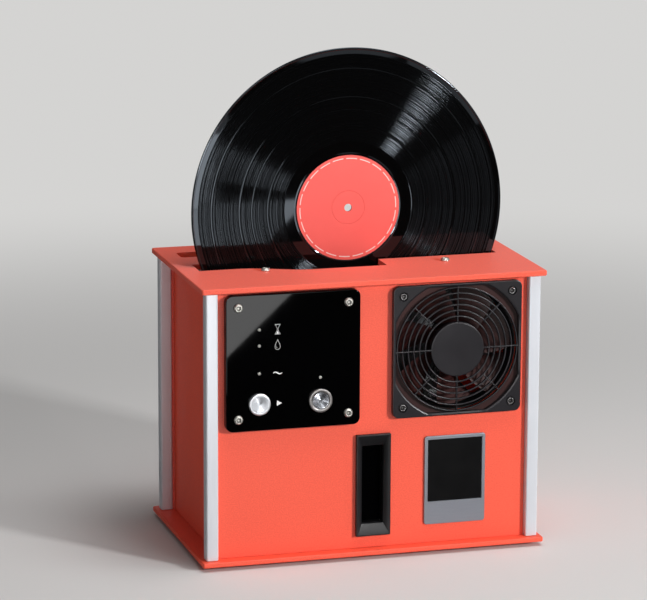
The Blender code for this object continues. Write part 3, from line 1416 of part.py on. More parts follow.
def roller_phase(x, rear):
    """The turn of a roller's gear: the front ones meet the pinion, the rear ones the front ones."""
    front = meshed_phase(ROLLER_TEETH, math.pi if x > 0 else 0, PINION_TEETH, 0)
    if not rear:
        return front
    return meshed_phase(ROLLER_TEETH, -math.pi / 2, ROLLER_TEETH, front)


def make_rollers(bench, core, fleece):
    """Four upright cleaning rollers: a geared spindle each and a fleece sleeve over it."""
    sleeve_profile = [
        (SLEEVE_BORE, SLEEVE_TOP_Z),
        (SLEEVE_RADIUS - SLEEVE_EDGE, SLEEVE_TOP_Z),
        (SLEEVE_RADIUS, SLEEVE_TOP_Z - SLEEVE_EDGE),
        (SLEEVE_RADIUS, SLEEVE_BOTTOM_Z + SLEEVE_EDGE),
        (SLEEVE_RADIUS - SLEEVE_EDGE, SLEEVE_BOTTOM_Z),
        (SLEEVE_BORE, SLEEVE_BOTTOM_Z),
    ]
    shoulder = SLEEVE_BOTTOM_Z - SEAT_GAP
    spindle = SLEEVE_BORE - SEAT_GAP
    head = SLEEVE_TOP_Z + SPINDLE_HEAD
    end = GEARBOX_BOTTOM_Z + SEAT_GAP
    spindle_profile = [
        (0, head),
        (spindle, head),
        (spindle, shoulder),
        (SPINDLE_SHOULDER_RADIUS, shoulder),
        (SPINDLE_SHOULDER_RADIUS, shoulder - SPINDLE_SHOULDER_DROP),
        (SPINDLE_SHAFT_RADIUS, shoulder - SPINDLE_SHOULDER_DROP),
        (SPINDLE_SHAFT_RADIUS, end),
        (0, end),
    ]
    for name, x, y in roller_places():
        place = Matrix.Translation((x, y, 0))
        turned(bench, "roller_sleeve_" + name, sleeve_profile, fleece, place, SMALL_STEPS, True)
        item = turned(bench, "roller_spindle_" + name, spindle_profile, core, place, SHAFT_STEPS)
        phase = roller_phase(x, "rear" in name)
        gear_place = Matrix.Translation((x, y, GEAR_BOTTOM_Z))
        bench.combine(
            item, sheet_mesh(gear_outline(ROLLER_TEETH, phase), GEAR_WIDTH, gear_place), "UNION"
        )


def make_drive_pinion(bench, material):
    """The motor's pinion, between the two front roller gears."""
    top = GEAR_TOP_Z + SEAT_GAP
    end = GEARBOX_BOTTOM_Z
    profile = [(0, top), (SPINDLE_SHAFT_RADIUS, top), (SPINDLE_SHAFT_RADIUS, end), (0, end)]
    item = turned(
        bench, "drive_pinion", profile, material, Matrix.Translation((0, ROLLER_FRONT_Y, 0)), SHAFT_STEPS
    )
    place = Matrix.Translation((0, ROLLER_FRONT_Y, GEAR_BOTTOM_Z))
    bench.combine(item, sheet_mesh(gear_outline(PINION_TEETH, 0), GEAR_WIDTH, place), "UNION")


def make_roller_motor(bench, material):
    """The roller motor under its gearbox plate, which carries the spindles' lower ends."""
    item = bench.add(
        "roller_motor",
        block_mesh(
            (-GEARBOX_HALF_LENGTH, GEARBOX_FRONT_Y, GEARBOX_BOTTOM_Z),
            (GEARBOX_HALF_LENGTH, GEARBOX_REAR_Y, GEARBOX_TOP_Z),
        ),
        material,
    )
    can = [(0, ROLLER_FRONT_Y, GEARBOX_BOTTOM_Z - ROLLER_MOTOR_HEIGHT)]
    bench.combine(
        item,
        rods_mesh(can, ROLLER_MOTOR_RADIUS, ROLLER_MOTOR_HEIGHT + GEARBOX_PLATE / 2, UPWARD, ROUND_STEPS),
        "UNION",
    )
    holes = [(x, y, GEARBOX_BOTTOM_Z - SEAT_GAP) for _, x, y in roller_places()]
    holes.append((0, ROLLER_FRONT_Y, GEARBOX_BOTTOM_Z - SEAT_GAP))
    bench.combine(
        item,
        rods_mesh(holes, SPINDLE_SHAFT_RADIUS + SEAT_GAP, GEARBOX_PLATE + OVERRUN, UPWARD, SMALL_STEPS),
    )


def make_rim_rollers(bench, rubber, metal):
    """Two grooved rollers that the record stands on, and the motor that turns one of them."""
    end = BATH_REAR_Y + BATH_WALL + RIM_SHAFT_TAIL
    half_groove = RIM_ROLLER_GROOVE / 2
    half = RIM_ROLLER_WIDTH / 2
    profile = [
        (0, half),
        (RIM_ROLLER_FLANGE, half),
        (RIM_ROLLER_FLANGE, half_groove),
        (RIM_ROLLER_RADIUS, half_groove),
        (RIM_ROLLER_RADIUS, -half_groove),
        (RIM_ROLLER_FLANGE, -half_groove),
        (RIM_ROLLER_FLANGE, -half),
        (RIM_SHAFT_RADIUS, -half),
        (RIM_SHAFT_RADIUS, RECORD_PLANE_Y - end),
        (0, RECORD_PLANE_Y - end),
    ]
    for name, side in (("turning_roller", -1), ("support_roller", 1)):
        seat = Matrix.Translation((side * RIM_ROLLER_X, RECORD_PLANE_Y, RIM_ROLLER_Z)) @ FRONTWARD
        turned(bench, name, profile, rubber, seat, ROUND_STEPS)
    start = BATH_REAR_Y + BATH_WALL + SEAT_GAP
    bore = RIM_SHAFT_RADIUS + SEAT_GAP
    depth = RIM_SHAFT_TAIL + SEAT_GAP
    motor = [
        (0, -depth),
        (bore, -depth),
        (bore, 0),
        (TURN_MOTOR_RADIUS, 0),
        (TURN_MOTOR_RADIUS, -TURN_MOTOR_LENGTH),
        (0, -TURN_MOTOR_LENGTH),
    ]
    seat = Matrix.Translation((-RIM_ROLLER_X, start, RIM_ROLLER_Z)) @ FRONTWARD
    turned(bench, "turning_motor", motor, metal, seat, ROUND_STEPS)


def make_transducer(bench, material):
    """The ultrasonic transducer bonded under the bath: horn, ceramic rings and back mass."""
    top = BATH_UNDER_Z - SEAT_GAP
    horn = top - TRANSDUCER_HORN
    rings = horn - TRANSDUCER_RINGS
    back = rings - TRANSDUCER_BACK
    profile = [
        (0, top),
        (TRANSDUCER_HORN_RADIUS, top),
        (TRANSDUCER_HORN_RADIUS, top - TRANSDUCER_HORN / 3),
        (TRANSDUCER_RING_RADIUS, horn),
        (TRANSDUCER_RING_RADIUS + TRANSDUCER_RING_LIP, horn),
        (TRANSDUCER_RING_RADIUS + TRANSDUCER_RING_LIP, rings),
        (TRANSDUCER_RING_RADIUS, rings),
        (TRANSDUCER_RING_RADIUS, back),
        (0, back),
    ]
    seat = Matrix.Translation((TRANSDUCER_X, RECORD_PLANE_Y, 0))
    turned(bench, "ultrasonic_transducer", profile, material, seat, ROUND_STEPS)


def make_water_tank(bench, material):
    """The open water tank on the base plate, with its drain spigot through the rear panel."""
    outline = rounded_outline(
        -TANK_HALF_LENGTH, TANK_HALF_LENGTH, TANK_FRONT_Y, TANK_REAR_Y, TANK_CORNER, FEW_CORNER_STEPS
    )
    floor = Matrix.Translation((0, 0, TANK_FLOOR_Z))
    item = bench.add("water_tank", sheet_mesh(outline, TANK_HEIGHT, floor), material)
    spigot = [(SPIGOT_X, TANK_REAR_Y - TANK_WALL / 2, SPIGOT_Z)]
    reach = -FRONT_FACE + SPIGOT_PROUD - TANK_REAR_Y + TANK_WALL / 2
    bench.combine(item, rods_mesh(spigot, SPIGOT_RADIUS, reach, REARWARD, ROUND_STEPS), "UNION")
    inside = rounded_outline(
        -TANK_HALF_LENGTH + TANK_WALL,
        TANK_HALF_LENGTH - TANK_WALL,
        TANK_FRONT_Y + TANK_WALL,
        TANK_REAR_Y - TANK_WALL,
        TANK_CORNER - TANK_WALL,
        FEW_CORNER_STEPS,
    )
    above = Matrix.Translation((0, 0, TANK_FLOOR_Z + TANK_WALL))
    bench.combine(item, sheet_mesh(inside, TANK_HEIGHT, above))
    bore = [(SPIGOT_X, TANK_REAR_Y - TANK_WALL - OVERRUN, SPIGOT_Z)]
    bench.combine(
        item, rods_mesh(bore, SPIGOT_BORE, reach + TANK_WALL + 2 * OVERRUN, REARWARD, SMALL_STEPS)
    )


def make_drain_cap(bench, material):
    """The cap on the drain spigot, outside the rear panel."""
    near = -FRONT_FACE + SEAT_GAP
    inner = SPIGOT_RADIUS + SEAT_GAP
    floor = SPIGOT_PROUD
    profile = [
        (0, CAP_DEPTH),
        (CAP_RADIUS - CAP_WALL / 2, CAP_DEPTH),
        (CAP_RADIUS, CAP_DEPTH - CAP_WALL / 2),
        (CAP_RADIUS, 0),
        (inner, 0),
        (inner, floor),
        (0, floor),
    ]
    seat = Matrix.Translation((SPIGOT_X, near, SPIGOT_Z)) @ REARWARD
    turned(bench, "drain_cap", profile, material, seat, ROUND_STEPS)


def make_pump(bench, material):
    """The submersible pump on the tank's floor."""
    floor = TANK_FLOOR_Z + TANK_WALL + SEAT_GAP
    top = floor + PUMP_HEIGHT
    shoulder = PUMP_RADIUS - PUMP_SHOULDER
    profile = [
        (0, top + NIPPLE_LENGTH),
        (NIPPLE_RADIUS, top + NIPPLE_LENGTH),
        (NIPPLE_RADIUS, top),
        (shoulder, top),
        (PUMP_RADIUS, top - PUMP_SHOULDER),
        (PUMP_RADIUS, floor),
        (0, floor),
    ]
    place = Matrix.Translation((RISER_X, RECORD_PLANE_Y, 0))
    turned(bench, "water_pump", profile, material, place, SMALL_STEPS)


def make_hose(bench, material):
    """The riser hose, pushed over the pump's spout below and the bath's nipple above."""
    low = TANK_FLOOR_Z + TANK_WALL + SEAT_GAP + PUMP_HEIGHT + SEAT_GAP
    high = BATH_UNDER_Z - SEAT_GAP
    bore = NIPPLE_RADIUS + SEAT_GAP
    profile = [
        (bore, high),
        (bore + HOSE_WALL, high),
        (bore + HOSE_WALL, low),
        (bore, low),
    ]
    place = Matrix.Translation((RISER_X, RECORD_PLANE_Y, 0))
    turned(bench, "riser_hose", profile, material, place, SHAFT_STEPS, True)


def make_filter(bench, material):
    """The filter cartridge on the tank's floor: a pleated body between two caps."""
    floor = TANK_FLOOR_Z + TANK_WALL + SEAT_GAP
    top = floor + FILTER_HEIGHT
    body = FILTER_RADIUS - FILTER_CAP_LIP
    profile = [
        (0, top),
        (FILTER_RADIUS, top),
        (FILTER_RADIUS, top - FILTER_CAP),
        (body, top - FILTER_CAP),
        (body, floor + FILTER_CAP),
        (FILTER_RADIUS, floor + FILTER_CAP),
        (FILTER_RADIUS, floor),
        (0, floor),
    ]
    seat = Matrix.Translation((FILTER_X, FILTER_Y, 0))
    turned(bench, "filter_cartridge", profile, material, seat, ROUND_STEPS)


def make_power_inlet(bench, material):
    """The power inlet in the rear panel: a flanged socket with three flat pins."""
    half_x = INLET_WIDTH / 2
    half_z = INLET_HEIGHT / 2
    near = -FRONT_FACE + SEAT_GAP
    far = near + INLET_FLANGE
    outline = rounded_outline(
        INLET_X - half_x, INLET_X + half_x, INLET_Z - half_z, INLET_Z + half_z, INLET_CORNER, FEW_CORNER_STEPS
    )
    item = bench.add("power_inlet", upright_sheet(outline, near, far), material)
    body_x = INLET_BODY_WIDTH / 2
    body_z = INLET_BODY_HEIGHT / 2
    body_near = far - INLET_FLANGE / 2 - INLET_BODY_LENGTH
    bench.combine(
        item,
        block_mesh(
            (INLET_X - body_x, body_near, INLET_Z - body_z),
            (INLET_X + body_x, near + INLET_FLANGE / 2, INLET_Z + body_z),
        ),
        "UNION",
    )
    pit_x = body_x - INLET_WALL
    pit_z = body_z - INLET_WALL
    pit_floor = body_near + INLET_WALL
    bench.combine(
        item,
        block_mesh(
            (INLET_X - pit_x, pit_floor, INLET_Z - pit_z), (INLET_X + pit_x, far + OVERRUN, INLET_Z + pit_z)
        ),
    )
    pins = []
    for column, drop in ((-1, 0), (0, 1), (1, 0)):
        x = INLET_X + column * INLET_PIN_PITCH
        z = INLET_Z + INLET_PIN_OFFSET - drop * 2 * INLET_PIN_OFFSET
        pins.append(
            (
                (x - INLET_PIN_THICKNESS / 2, pit_floor - INLET_WALL / 2, z - INLET_PIN_WIDTH / 2),
                (x + INLET_PIN_THICKNESS / 2, pit_floor + INLET_PIN_LENGTH, z + INLET_PIN_WIDTH / 2),
            )
        )
    bench.combine(item, blocks_mesh(pins), "UNION")


def main():
    """Build the machine from the table up."""
    clear_scene()
    bench = Bench()
    coral = finish("coral_powder_coat", (0.80, 0.13, 0.075), 0.55)
    satin = finish("satin_aluminium", (0.75, 0.76, 0.78), 0.32, 1.0)
    rubber = finish("black_rubber", (0.015, 0.015, 0.015), 0.8)
    acrylic = finish("black_acrylic", (0.006, 0.006, 0.006), 0.06)
    steel = finish("polished_steel", (0.72, 0.72, 0.72), 0.2, 1.0)
    spun = finish("spun_steel", (0.78, 0.79, 0.82), 0.25, 1.0)
    moulded = finish("moulded_black", (0.03, 0.03, 0.032), 0.5)
    badge = finish("badge_metal", (0.38, 0.39, 0.41), 0.35, 1.0)
    clear = finish("clear_plastic", (0.8, 0.85, 0.88), 0.1)
    vinyl = finish("vinyl", (0.008, 0.008, 0.009), 0.18)
    paper = finish("label_paper", (0.82, 0.16, 0.13), 0.6)
    white = finish("white_plastic", (0.75, 0.76, 0.76), 0.4)
    grey = finish("grey_plastic", (0.25, 0.26, 0.27), 0.5)
    fleece = finish("fleece", (0.82, 0.80, 0.72), 0.9)
    board = finish("board_green", (0.03, 0.14, 0.07), 0.5)
    zinc = finish("zinc_plate", (0.55, 0.55, 0.56), 0.4, 1.0)
    foam = finish("filter_foam", (0.2, 0.35, 0.6), 0.9)
    hose = finish("hose_silicone", (0.7, 0.72, 0.7), 0.35)

    make_feet(bench, rubber)
    make_base_plate(bench, coral)
    make_posts(bench, satin)
    make_top_plate(bench, coral)
    make_front_panel(bench, coral)
    make_rear_panel(bench, coral)
    make_side_panels(bench, coral)
    make_control_panel(bench, acrylic)
    make_light_guide(bench, clear)
    make_circuit_board(bench, board)
    make_screws(bench, steel)
    make_button(
        bench, "start_button", START_PLACE, START_FLANGE_RADIUS, START_FLANGE_HEIGHT, steel, spun
    )
    make_button(
        bench, "power_button", POWER_PLACE, POWER_FLANGE_RADIUS, POWER_FLANGE_HEIGHT, steel, spun
    )
    make_fan_guard(bench, moulded)
    make_fan_frame(bench, moulded)
    make_fan_rotor(bench, moulded)
    make_window_bezel(bench, moulded)
    make_level_window(bench, clear)
    make_badge_plate(bench, badge)
    make_record(bench, vinyl, paper)
    make_bath(bench, grey)
    make_rollers(bench, white, fleece)
    make_drive_pinion(bench, white)
    make_roller_motor(bench, zinc)
    make_rim_rollers(bench, rubber, zinc)
    make_transducer(bench, zinc)
    make_water_tank(bench, grey)
    make_drain_cap(bench, moulded)
    make_pump(bench, moulded)
    make_hose(bench, hose)
    make_filter(bench, foam)
    make_power_inlet(bench, moulded)


if __name__ == "__main__":
    main()
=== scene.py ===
"""Looks of a bench-top record cleaning machine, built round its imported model."""
import json
import logging
import math
from dataclasses import dataclass, replace
from enum import Enum
from typing import Any, Callable, Union

import bmesh
import bpy
import numpy as np
from mathutils import Matrix, Vector

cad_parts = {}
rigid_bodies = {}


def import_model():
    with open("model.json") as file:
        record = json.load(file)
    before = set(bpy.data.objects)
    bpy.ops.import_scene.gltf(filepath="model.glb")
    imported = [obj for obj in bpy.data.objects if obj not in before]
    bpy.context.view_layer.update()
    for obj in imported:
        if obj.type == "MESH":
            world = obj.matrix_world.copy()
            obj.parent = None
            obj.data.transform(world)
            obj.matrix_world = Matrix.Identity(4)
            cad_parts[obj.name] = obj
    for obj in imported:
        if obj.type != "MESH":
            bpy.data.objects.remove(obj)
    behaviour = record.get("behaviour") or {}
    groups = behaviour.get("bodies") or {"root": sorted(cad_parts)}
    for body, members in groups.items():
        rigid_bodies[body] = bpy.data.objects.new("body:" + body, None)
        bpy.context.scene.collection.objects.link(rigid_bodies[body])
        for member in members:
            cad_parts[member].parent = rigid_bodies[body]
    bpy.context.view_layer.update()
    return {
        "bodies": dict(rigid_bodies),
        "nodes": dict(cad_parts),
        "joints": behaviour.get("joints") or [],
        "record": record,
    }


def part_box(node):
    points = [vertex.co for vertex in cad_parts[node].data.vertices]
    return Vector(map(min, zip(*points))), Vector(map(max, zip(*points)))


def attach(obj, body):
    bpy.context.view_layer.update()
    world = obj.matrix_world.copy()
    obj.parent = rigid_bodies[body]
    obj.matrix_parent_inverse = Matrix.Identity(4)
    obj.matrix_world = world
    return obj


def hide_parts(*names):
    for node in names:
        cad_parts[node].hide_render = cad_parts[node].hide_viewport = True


LOG = logging.getLogger("record_cleaner")
SHARP_ANGLE = math.radians(32)
MERGE_DISTANCE = 0.000004
TURN = 2 * math.pi
CABINET_CORNERS = ("front_left", "front_right", "rear_left", "rear_right")
FACE_CORNERS = ("top_left", "top_right", "bottom_left", "bottom_right")

Pair = tuple[float, float]
Point = tuple[float, float, float]
Colour = tuple[float, float, float, float]
Value = Union["Socket", float]
Spoke = tuple["Socket", "Socket", "Socket"]


class Axis(Enum):
    """Directions that a turned piece can be turned about."""

    Y = "y"
    Z = "z"


class Channel(Enum):
    """Inputs of the surface shader: four that may vary over a piece, and the rest, which are one value."""

    COLOUR = "Base Color"
    ROUGHNESS = "Roughness"
    METALLIC = "Metallic"
    NORMAL = "Normal"
    SPECULAR = "Specular IOR Level"
    TINT = "Specular Tint"
    SHEEN = "Sheen Weight"
    SHEEN_ROUGHNESS = "Sheen Roughness"
    TRANSMISSION = "Transmission Weight"
    IOR = "IOR"


class MixPlace(Enum):
    """Sockets of the Mix node that belong to colours, by place."""

    SHARE = 0
    FIRST = 6
    SECOND = 7
    RESULT = 2


def shade(red: float, green: float, blue: float) -> Colour:
    """Turns a display colour into a linear one, by the usual curve of displays.

    Args:
        red: Red, from 0 to 255.
        green: Green, from 0 to 255.
        blue: Blue, from 0 to 255.

    Returns:
        The linear colour with full opacity.
    """
    display = np.array([red, green, blue]) / 255.0
    linear = np.where(display <= 0.04045, display / 12.92, ((display + 0.055) / 1.055) ** 2.4)
    return (*linear.tolist(), 1.0)


def scaled(colour: Colour, share: float, most: float = 1.0) -> Colour:
    """Returns a colour with its light multiplied by a share, up to a limit."""
    return (*(min(share * part, most) for part in colour[:3]), 1.0)


class Socket:
    """One output of a node, on which sums are written as Python."""

    def __init__(self, graph: "Graph", node: bpy.types.Node, place: int | str = 0) -> None:
        """Keeps one output of a node.

        Args:
            graph: The graph that owns the node.
            node: The node.
            place: The output's name or place.
        """
        self.graph = graph
        self.node = node
        self.place = place

    def other(self, place: int | str) -> "Socket":
        """Returns another output of the same node."""
        return Socket(self.graph, self.node, place)

    def maths(self, operation: str, *values: Value) -> "Socket":
        """Adds one Math node with these operands and returns its result."""
        return self.graph.node("ShaderNodeMath", {"operation": operation}, dict(enumerate(values)))

    def __add__(self, other: Value) -> "Socket":
        """Returns the sum."""
        return self.maths("ADD", self, other)

    __radd__ = __add__

    def __sub__(self, other: Value) -> "Socket":
        """Returns the difference."""
        return self.maths("SUBTRACT", self, other)

    def __rsub__(self, other: Value) -> "Socket":
        """Returns the difference from a number."""
        return self.maths("SUBTRACT", other, self)

    def __mul__(self, other: Value) -> "Socket":
        """Returns the product."""
        return self.maths("MULTIPLY", self, other)

    __rmul__ = __mul__

    def __truediv__(self, other: Value) -> "Socket":
        """Returns the quotient."""
        return self.maths("DIVIDE", self, other)

    def root(self) -> "Socket":
        """Returns the square root."""
        return self.maths("SQRT", self)

    def sine(self) -> "Socket":
        """Returns the sine."""
        return self.maths("SINE", self)

    def angle(self, up: "Socket") -> "Socket":
        """Returns the angle of the point this far across and that far up."""
        return self.maths("ARCTAN2", up, self)

    def fraction(self) -> "Socket":
        """Returns what is left over the whole number below."""
        return self.maths("FRACT", self)

    def below(self, limit: Value) -> "Socket":
        """Returns 1 where the value is under the limit and 0 elsewhere."""
        return self.maths("LESS_THAN", self, limit)

    def rise(self, low: float, high: float) -> "Socket":
        """Returns a smooth step that is 0 at low and 1 at high."""
        inputs = {"Value": self, "From Min": low, "From Max": high}
        return self.graph.node("ShaderNodeMapRange", {"interpolation_type": "SMOOTHSTEP"}, inputs)

    def band(self, low: float, high: float, soft: float) -> "Socket":
        """Returns 1 between low and high and 0 outside, with soft edges."""
        return self.rise(low - soft, low + soft) * (1 - self.rise(high - soft, high + soft))

    def spread(self, low: float, high: float) -> "Socket":
        """Returns the value carried from 0..1 to low..high."""
        return self * (high - low) + low


class Graph:
    """A node tree under construction."""

    def __init__(self, tree: bpy.types.NodeTree) -> None:
        """Empties the tree."""
        self.tree = tree
        self.tree.nodes.clear()

    def node(self, kind: str, settings: dict[str, Any], inputs: dict[Any, Any], place: Any = 0) -> Socket:
        """Adds a node.

        Args:
            kind: The node's type.
            settings: Its own settings, such as a Math node's operation.
            inputs: Numbers, colours or links for its sockets, by name or place.
            place: The name or place of the output that is wanted.

        Returns:
            That output.
        """
        made = self.tree.nodes.new(kind)
        for key, value in settings.items():
            setattr(made, key, value)
        for key, value in inputs.items():
            self.feed(made.inputs[key], value)
        return Socket(self, made, place)

    def feed(self, target: bpy.types.NodeSocket, value: Any) -> None:
        """Links a socket to the target, or writes a value on it.

        Args:
            target: The socket that takes it.
            value: A link, a number or a colour.
        """
        if isinstance(value, Socket):
            self.tree.links.new(value.node.outputs[value.place], target)
        else:
            target.default_value = value

    def parts(self, vector: Socket) -> tuple[Socket, Socket, Socket]:
        """Returns the three numbers of a vector."""
        split = self.node("ShaderNodeSeparateXYZ", {}, {0: vector})
        return split, split.other(1), split.other(2)

    def mix(self, share: Value, first: Any, second: Any) -> Socket:
        """Mixes two colours by a share."""
        inputs = {MixPlace.SHARE.value: share, MixPlace.FIRST.value: first, MixPlace.SECOND.value: second}
        return self.node("ShaderNodeMix", {"data_type": "RGBA"}, inputs, MixPlace.RESULT.value)

    def blend(self, share: Value, first: Socket, second: Socket) -> Socket:
        """Mixes two shaders by a share."""
        return self.node("ShaderNodeMixShader", {}, {0: share, 1: first, 2: second})

    def seen(self) -> Socket:
        """Tells apart the light that shows the backdrop.

        Returns:
            1 for what the camera sees, straight or by gloss or through glass, and 0 for other light.
        """
        ray = self.node("ShaderNodeLightPath", {}, {}, "Is Camera Ray")
        total = ray + ray.other("Is Glossy Ray") + ray.other("Is Transmission Ray")
        return total.rise(0.0, 1.0)


class Shader(Graph):
    """A material under construction: one surface shader and what feeds it."""

    def __init__(self, name: str) -> None:
        """Makes an empty material with its surface shader and output.

        Args:
            name: The material's name.
        """
        self.material = bpy.data.materials.new(name)
        self.material.use_nodes = True
        super().__init__(self.material.node_tree)
        self.surface = self.node("ShaderNodeBsdfPrincipled", {}, {})
        self.output = self.node("ShaderNodeOutputMaterial", {}, {0: self.surface})

    def point(self) -> Socket:
        """Returns the point on the piece, in metres."""
        return self.node("ShaderNodeTexCoord", {}, {}, "Object")

    def radius(self, centre: Pair) -> Spoke:
        """Measures from an axis along Y: the root of the sum of the squares across and up.

        Args:
            centre: The axis's place across and up.

        Returns:
            The distance, and the two lengths that make it.
        """
        x, _, z = self.parts(self.point())
        across = x - centre[0]
        up = z - centre[1]
        return (across * across + up * up).root(), across, up

    def twisted(self, spoke: Spoke, angle: float) -> Spoke:
        """Turns the direction of a spoke, whose parts go over into each other by cosine and sine.

        Args:
            spoke: The radius and its two parts, as radius() gives them.
            angle: The turn in degrees.

        Returns:
            The same radius, and its turned parts.
        """
        radius, across, up = spoke
        along = math.cos(math.radians(angle))
        beside = math.sin(math.radians(angle))
        return radius, across * along - up * beside, across * beside + up * along

    def stretched(self, scale: Point) -> Socket:
        """Returns the point on the piece, stretched along each axis."""
        return self.node("ShaderNodeMapping", {}, {"Vector": self.point(), "Scale": scale})

    def noise(self, scale: float, detail: float = 2.0, vector: Socket | None = None) -> Socket:
        """Returns a soft random pattern from 0 to 1 with this many waves in a metre."""
        inputs = {"Vector": vector or self.point(), "Scale": scale, "Detail": detail}
        return self.node("ShaderNodeTexNoise", {}, inputs)

    def waver(self, length: Socket, scale: float) -> Socket:
        """Returns a soft random run from 0 to 1 along a length."""
        return self.node("ShaderNodeTexNoise", {"noise_dimensions": "1D"}, {"W": length, "Scale": scale})

    def cells(self, scale: float) -> Socket:
        """Returns the distance to the nearest of many scattered points."""
        return self.node("ShaderNodeTexVoronoi", {}, {"Vector": self.point(), "Scale": scale})

    def leaned(self, spoke: Spoke, slope: Value) -> Socket:
        """Leans the piece's normal along a spoke: the normal plus the way outwards times the slope.

        Args:
            spoke: The radius and its two parts, as radius() gives them.
            slope: How far the normal leans, outwards where it is positive.

        Returns:
            The leaned normal.
        """
        radius, across, up = spoke
        outward = self.node("ShaderNodeCombineXYZ", {}, {0: across, 1: 0.0, 2: up})
        share = slope / radius
        way = self.node("ShaderNodeVectorMath", {"operation": "SCALE"}, {0: outward, "Scale": share})
        settings = {"vector_type": "VECTOR", "convert_from": "OBJECT", "convert_to": "WORLD"}
        lean = self.node("ShaderNodeVectorTransform", settings, {0: way})
        plain = self.node("ShaderNodeNewGeometry", {}, {}, "Normal")
        total = self.node("ShaderNodeVectorMath", {"operation": "ADD"}, {0: plain, 1: lean})
        return self.node("ShaderNodeVectorMath", {"operation": "NORMALIZE"}, {0: total})

    def bump(self, height: Value, depth: float) -> Socket:
        """Turns a height pattern into a normal, with the pattern's depth in metres."""
        return self.node("ShaderNodeBump", {}, {"Height": height, "Distance": depth, "Strength": 1.0})

    def fill(self, values: dict[Channel, Any]) -> None:
        """Writes plain values and links on the surface shader."""
        for channel, value in values.items():
            self.feed(self.surface.node.inputs[channel.value], value)

    def show(self, surface: Socket) -> None:
        """Makes another shader what the material shows."""
        self.feed(self.output.node.inputs["Surface"], surface)


class Finish:
    """A finish of the machine, whose material is made once."""

    name: str
    made: dict["Finish", bpy.types.Material] = {}

    def dress(self, shader: Shader) -> None:
        """Fills the surface shader."""
        raise NotImplementedError

    def material(self) -> bpy.types.Material:
        """Makes the finish's material at the first call, and keeps it.

        Returns:
            The material.
        """
        if self not in Finish.made:
            shader = Shader(self.name)
            self.dress(shader)
            Finish.made[self] = shader.material
        return Finish.made[self]


@dataclass(frozen=True)
class PowderCoat(Finish):
    """Baked powder paint: fine orange peel with a faint speckle of colour."""

    name: str = "powder_coat"
    colour: Colour = shade(252, 94, 65)
    deep: Colour = shade(240, 80, 54)
    grain: float = 900.0
    cloud: float = 9.0
    peel: float = 0.00004
    rough: Pair = (0.42, 0.62)
    specular: float = 0.42
    haze: float = 0.0
    haze_rough: float = 0.4

    def dress(self, shader: Shader) -> None:
        """Speckles the colour with a fine noise and a wide one, and raises the peel by two fine ones.

        Args:
            shader: The material under construction.
        """
        fine = shader.noise(self.grain, 1.0)
        wide = shader.noise(self.cloud, 1.0)
        speckle = (fine * 0.9 + wide * 0.1).rise(0.3, 0.7)
        peel = shader.noise(self.grain * 0.8, 1.0)
        shader.fill({
            Channel.COLOUR: shader.mix(speckle, self.deep, self.colour),
            Channel.ROUGHNESS: fine.spread(*self.rough),
            Channel.NORMAL: shader.bump(fine * 0.6 + peel, self.peel),
            Channel.SPECULAR: self.specular,
            Channel.SHEEN: self.haze,
            Channel.SHEEN_ROUGHNESS: self.haze_rough,
        })


@dataclass(frozen=True)
class Anodised(Finish):
    """Satin anodised aluminium with lengthwise draw lines."""

    name: str = "anodised"
    colour: Colour = shade(226, 229, 235)
    worn: Colour = shade(212, 215, 221)
    lines: Point = (1500.0, 1500.0, 14.0)
    cloud: float = 30.0
    rough: Pair = (0.3, 0.44)
    metallic: float = 0.2
    depth: float = 0.00003

    def dress(self, shader: Shader) -> None:
        """Draws the lines by a noise that is drawn out along Z, and clouds the colour.

        Args:
            shader: The material under construction.
        """
        lines = shader.noise(1.0, 3.0, shader.stretched(self.lines))
        cloud = shader.noise(self.cloud)
        shader.fill({
            Channel.COLOUR: shader.mix(cloud * 0.5 + lines * 0.5, self.worn, self.colour),
            Channel.METALLIC: self.metallic,
            Channel.ROUGHNESS: lines.spread(*self.rough),
            Channel.NORMAL: shader.bump(lines, self.depth),
        })


@dataclass(frozen=True)
class Moulded(Finish):
    """Moulded plastic with the fine grain of its tool."""

    name: str = "moulded_black"
    colour: Colour = shade(31, 28, 33)
    dark: Colour = shade(24, 22, 26)
    grain: float = 1500.0
    cloud: float = 40.0
    rough: float = 0.34
    less_rough: float = 0.08
    more_rough: float = 0.1
    depth: float = 0.00003
    specular: float = 0.45

    def dress(self, shader: Shader) -> None:
        """Clouds the colour, and raises the grain by a fine noise that also varies the roughness.

        Args:
            shader: The material under construction.
        """
        grain = shader.noise(self.grain)
        cloud = shader.noise(self.cloud)
        patchy = grain * 0.5 + cloud * 0.5
        shader.fill({
            Channel.COLOUR: shader.mix(cloud, self.dark, self.colour),
            Channel.ROUGHNESS: patchy.spread(self.rough - self.less_rough, self.rough + self.more_rough),
            Channel.NORMAL: shader.bump(grain, self.depth),
            Channel.SPECULAR: self.specular,
        })


@dataclass(frozen=True)
class PolishedBlack(Finish):
    """Polished black acrylic with faint wiping marks and a little dust."""

    name: str = "polished_black"
    colour: Colour = (0.0008, 0.0008, 0.0009, 1.0)
    dust: Colour = (0.006, 0.006, 0.006, 1.0)
    wipes: Point = (60.0, 60.0, 14.0)
    grain: float = 2600.0
    rough: Pair = (0.02, 0.05)
    specular: float = 0.3

    def dress(self, shader: Shader) -> None:
        """Wipes the polish by a long noise, and scatters dust where a fine noise peaks.

        Args:
            shader: The material under construction.
        """
        wipes = shader.noise(1.0, 4.0, shader.stretched(self.wipes))
        dust = shader.noise(self.grain, 1.0).rise(0.74, 0.86)
        shader.fill({
            Channel.COLOUR: shader.mix(dust * 0.4, self.colour, self.dust),
            Channel.ROUGHNESS: wipes.spread(*self.rough),
            Channel.SPECULAR: self.specular,
        })


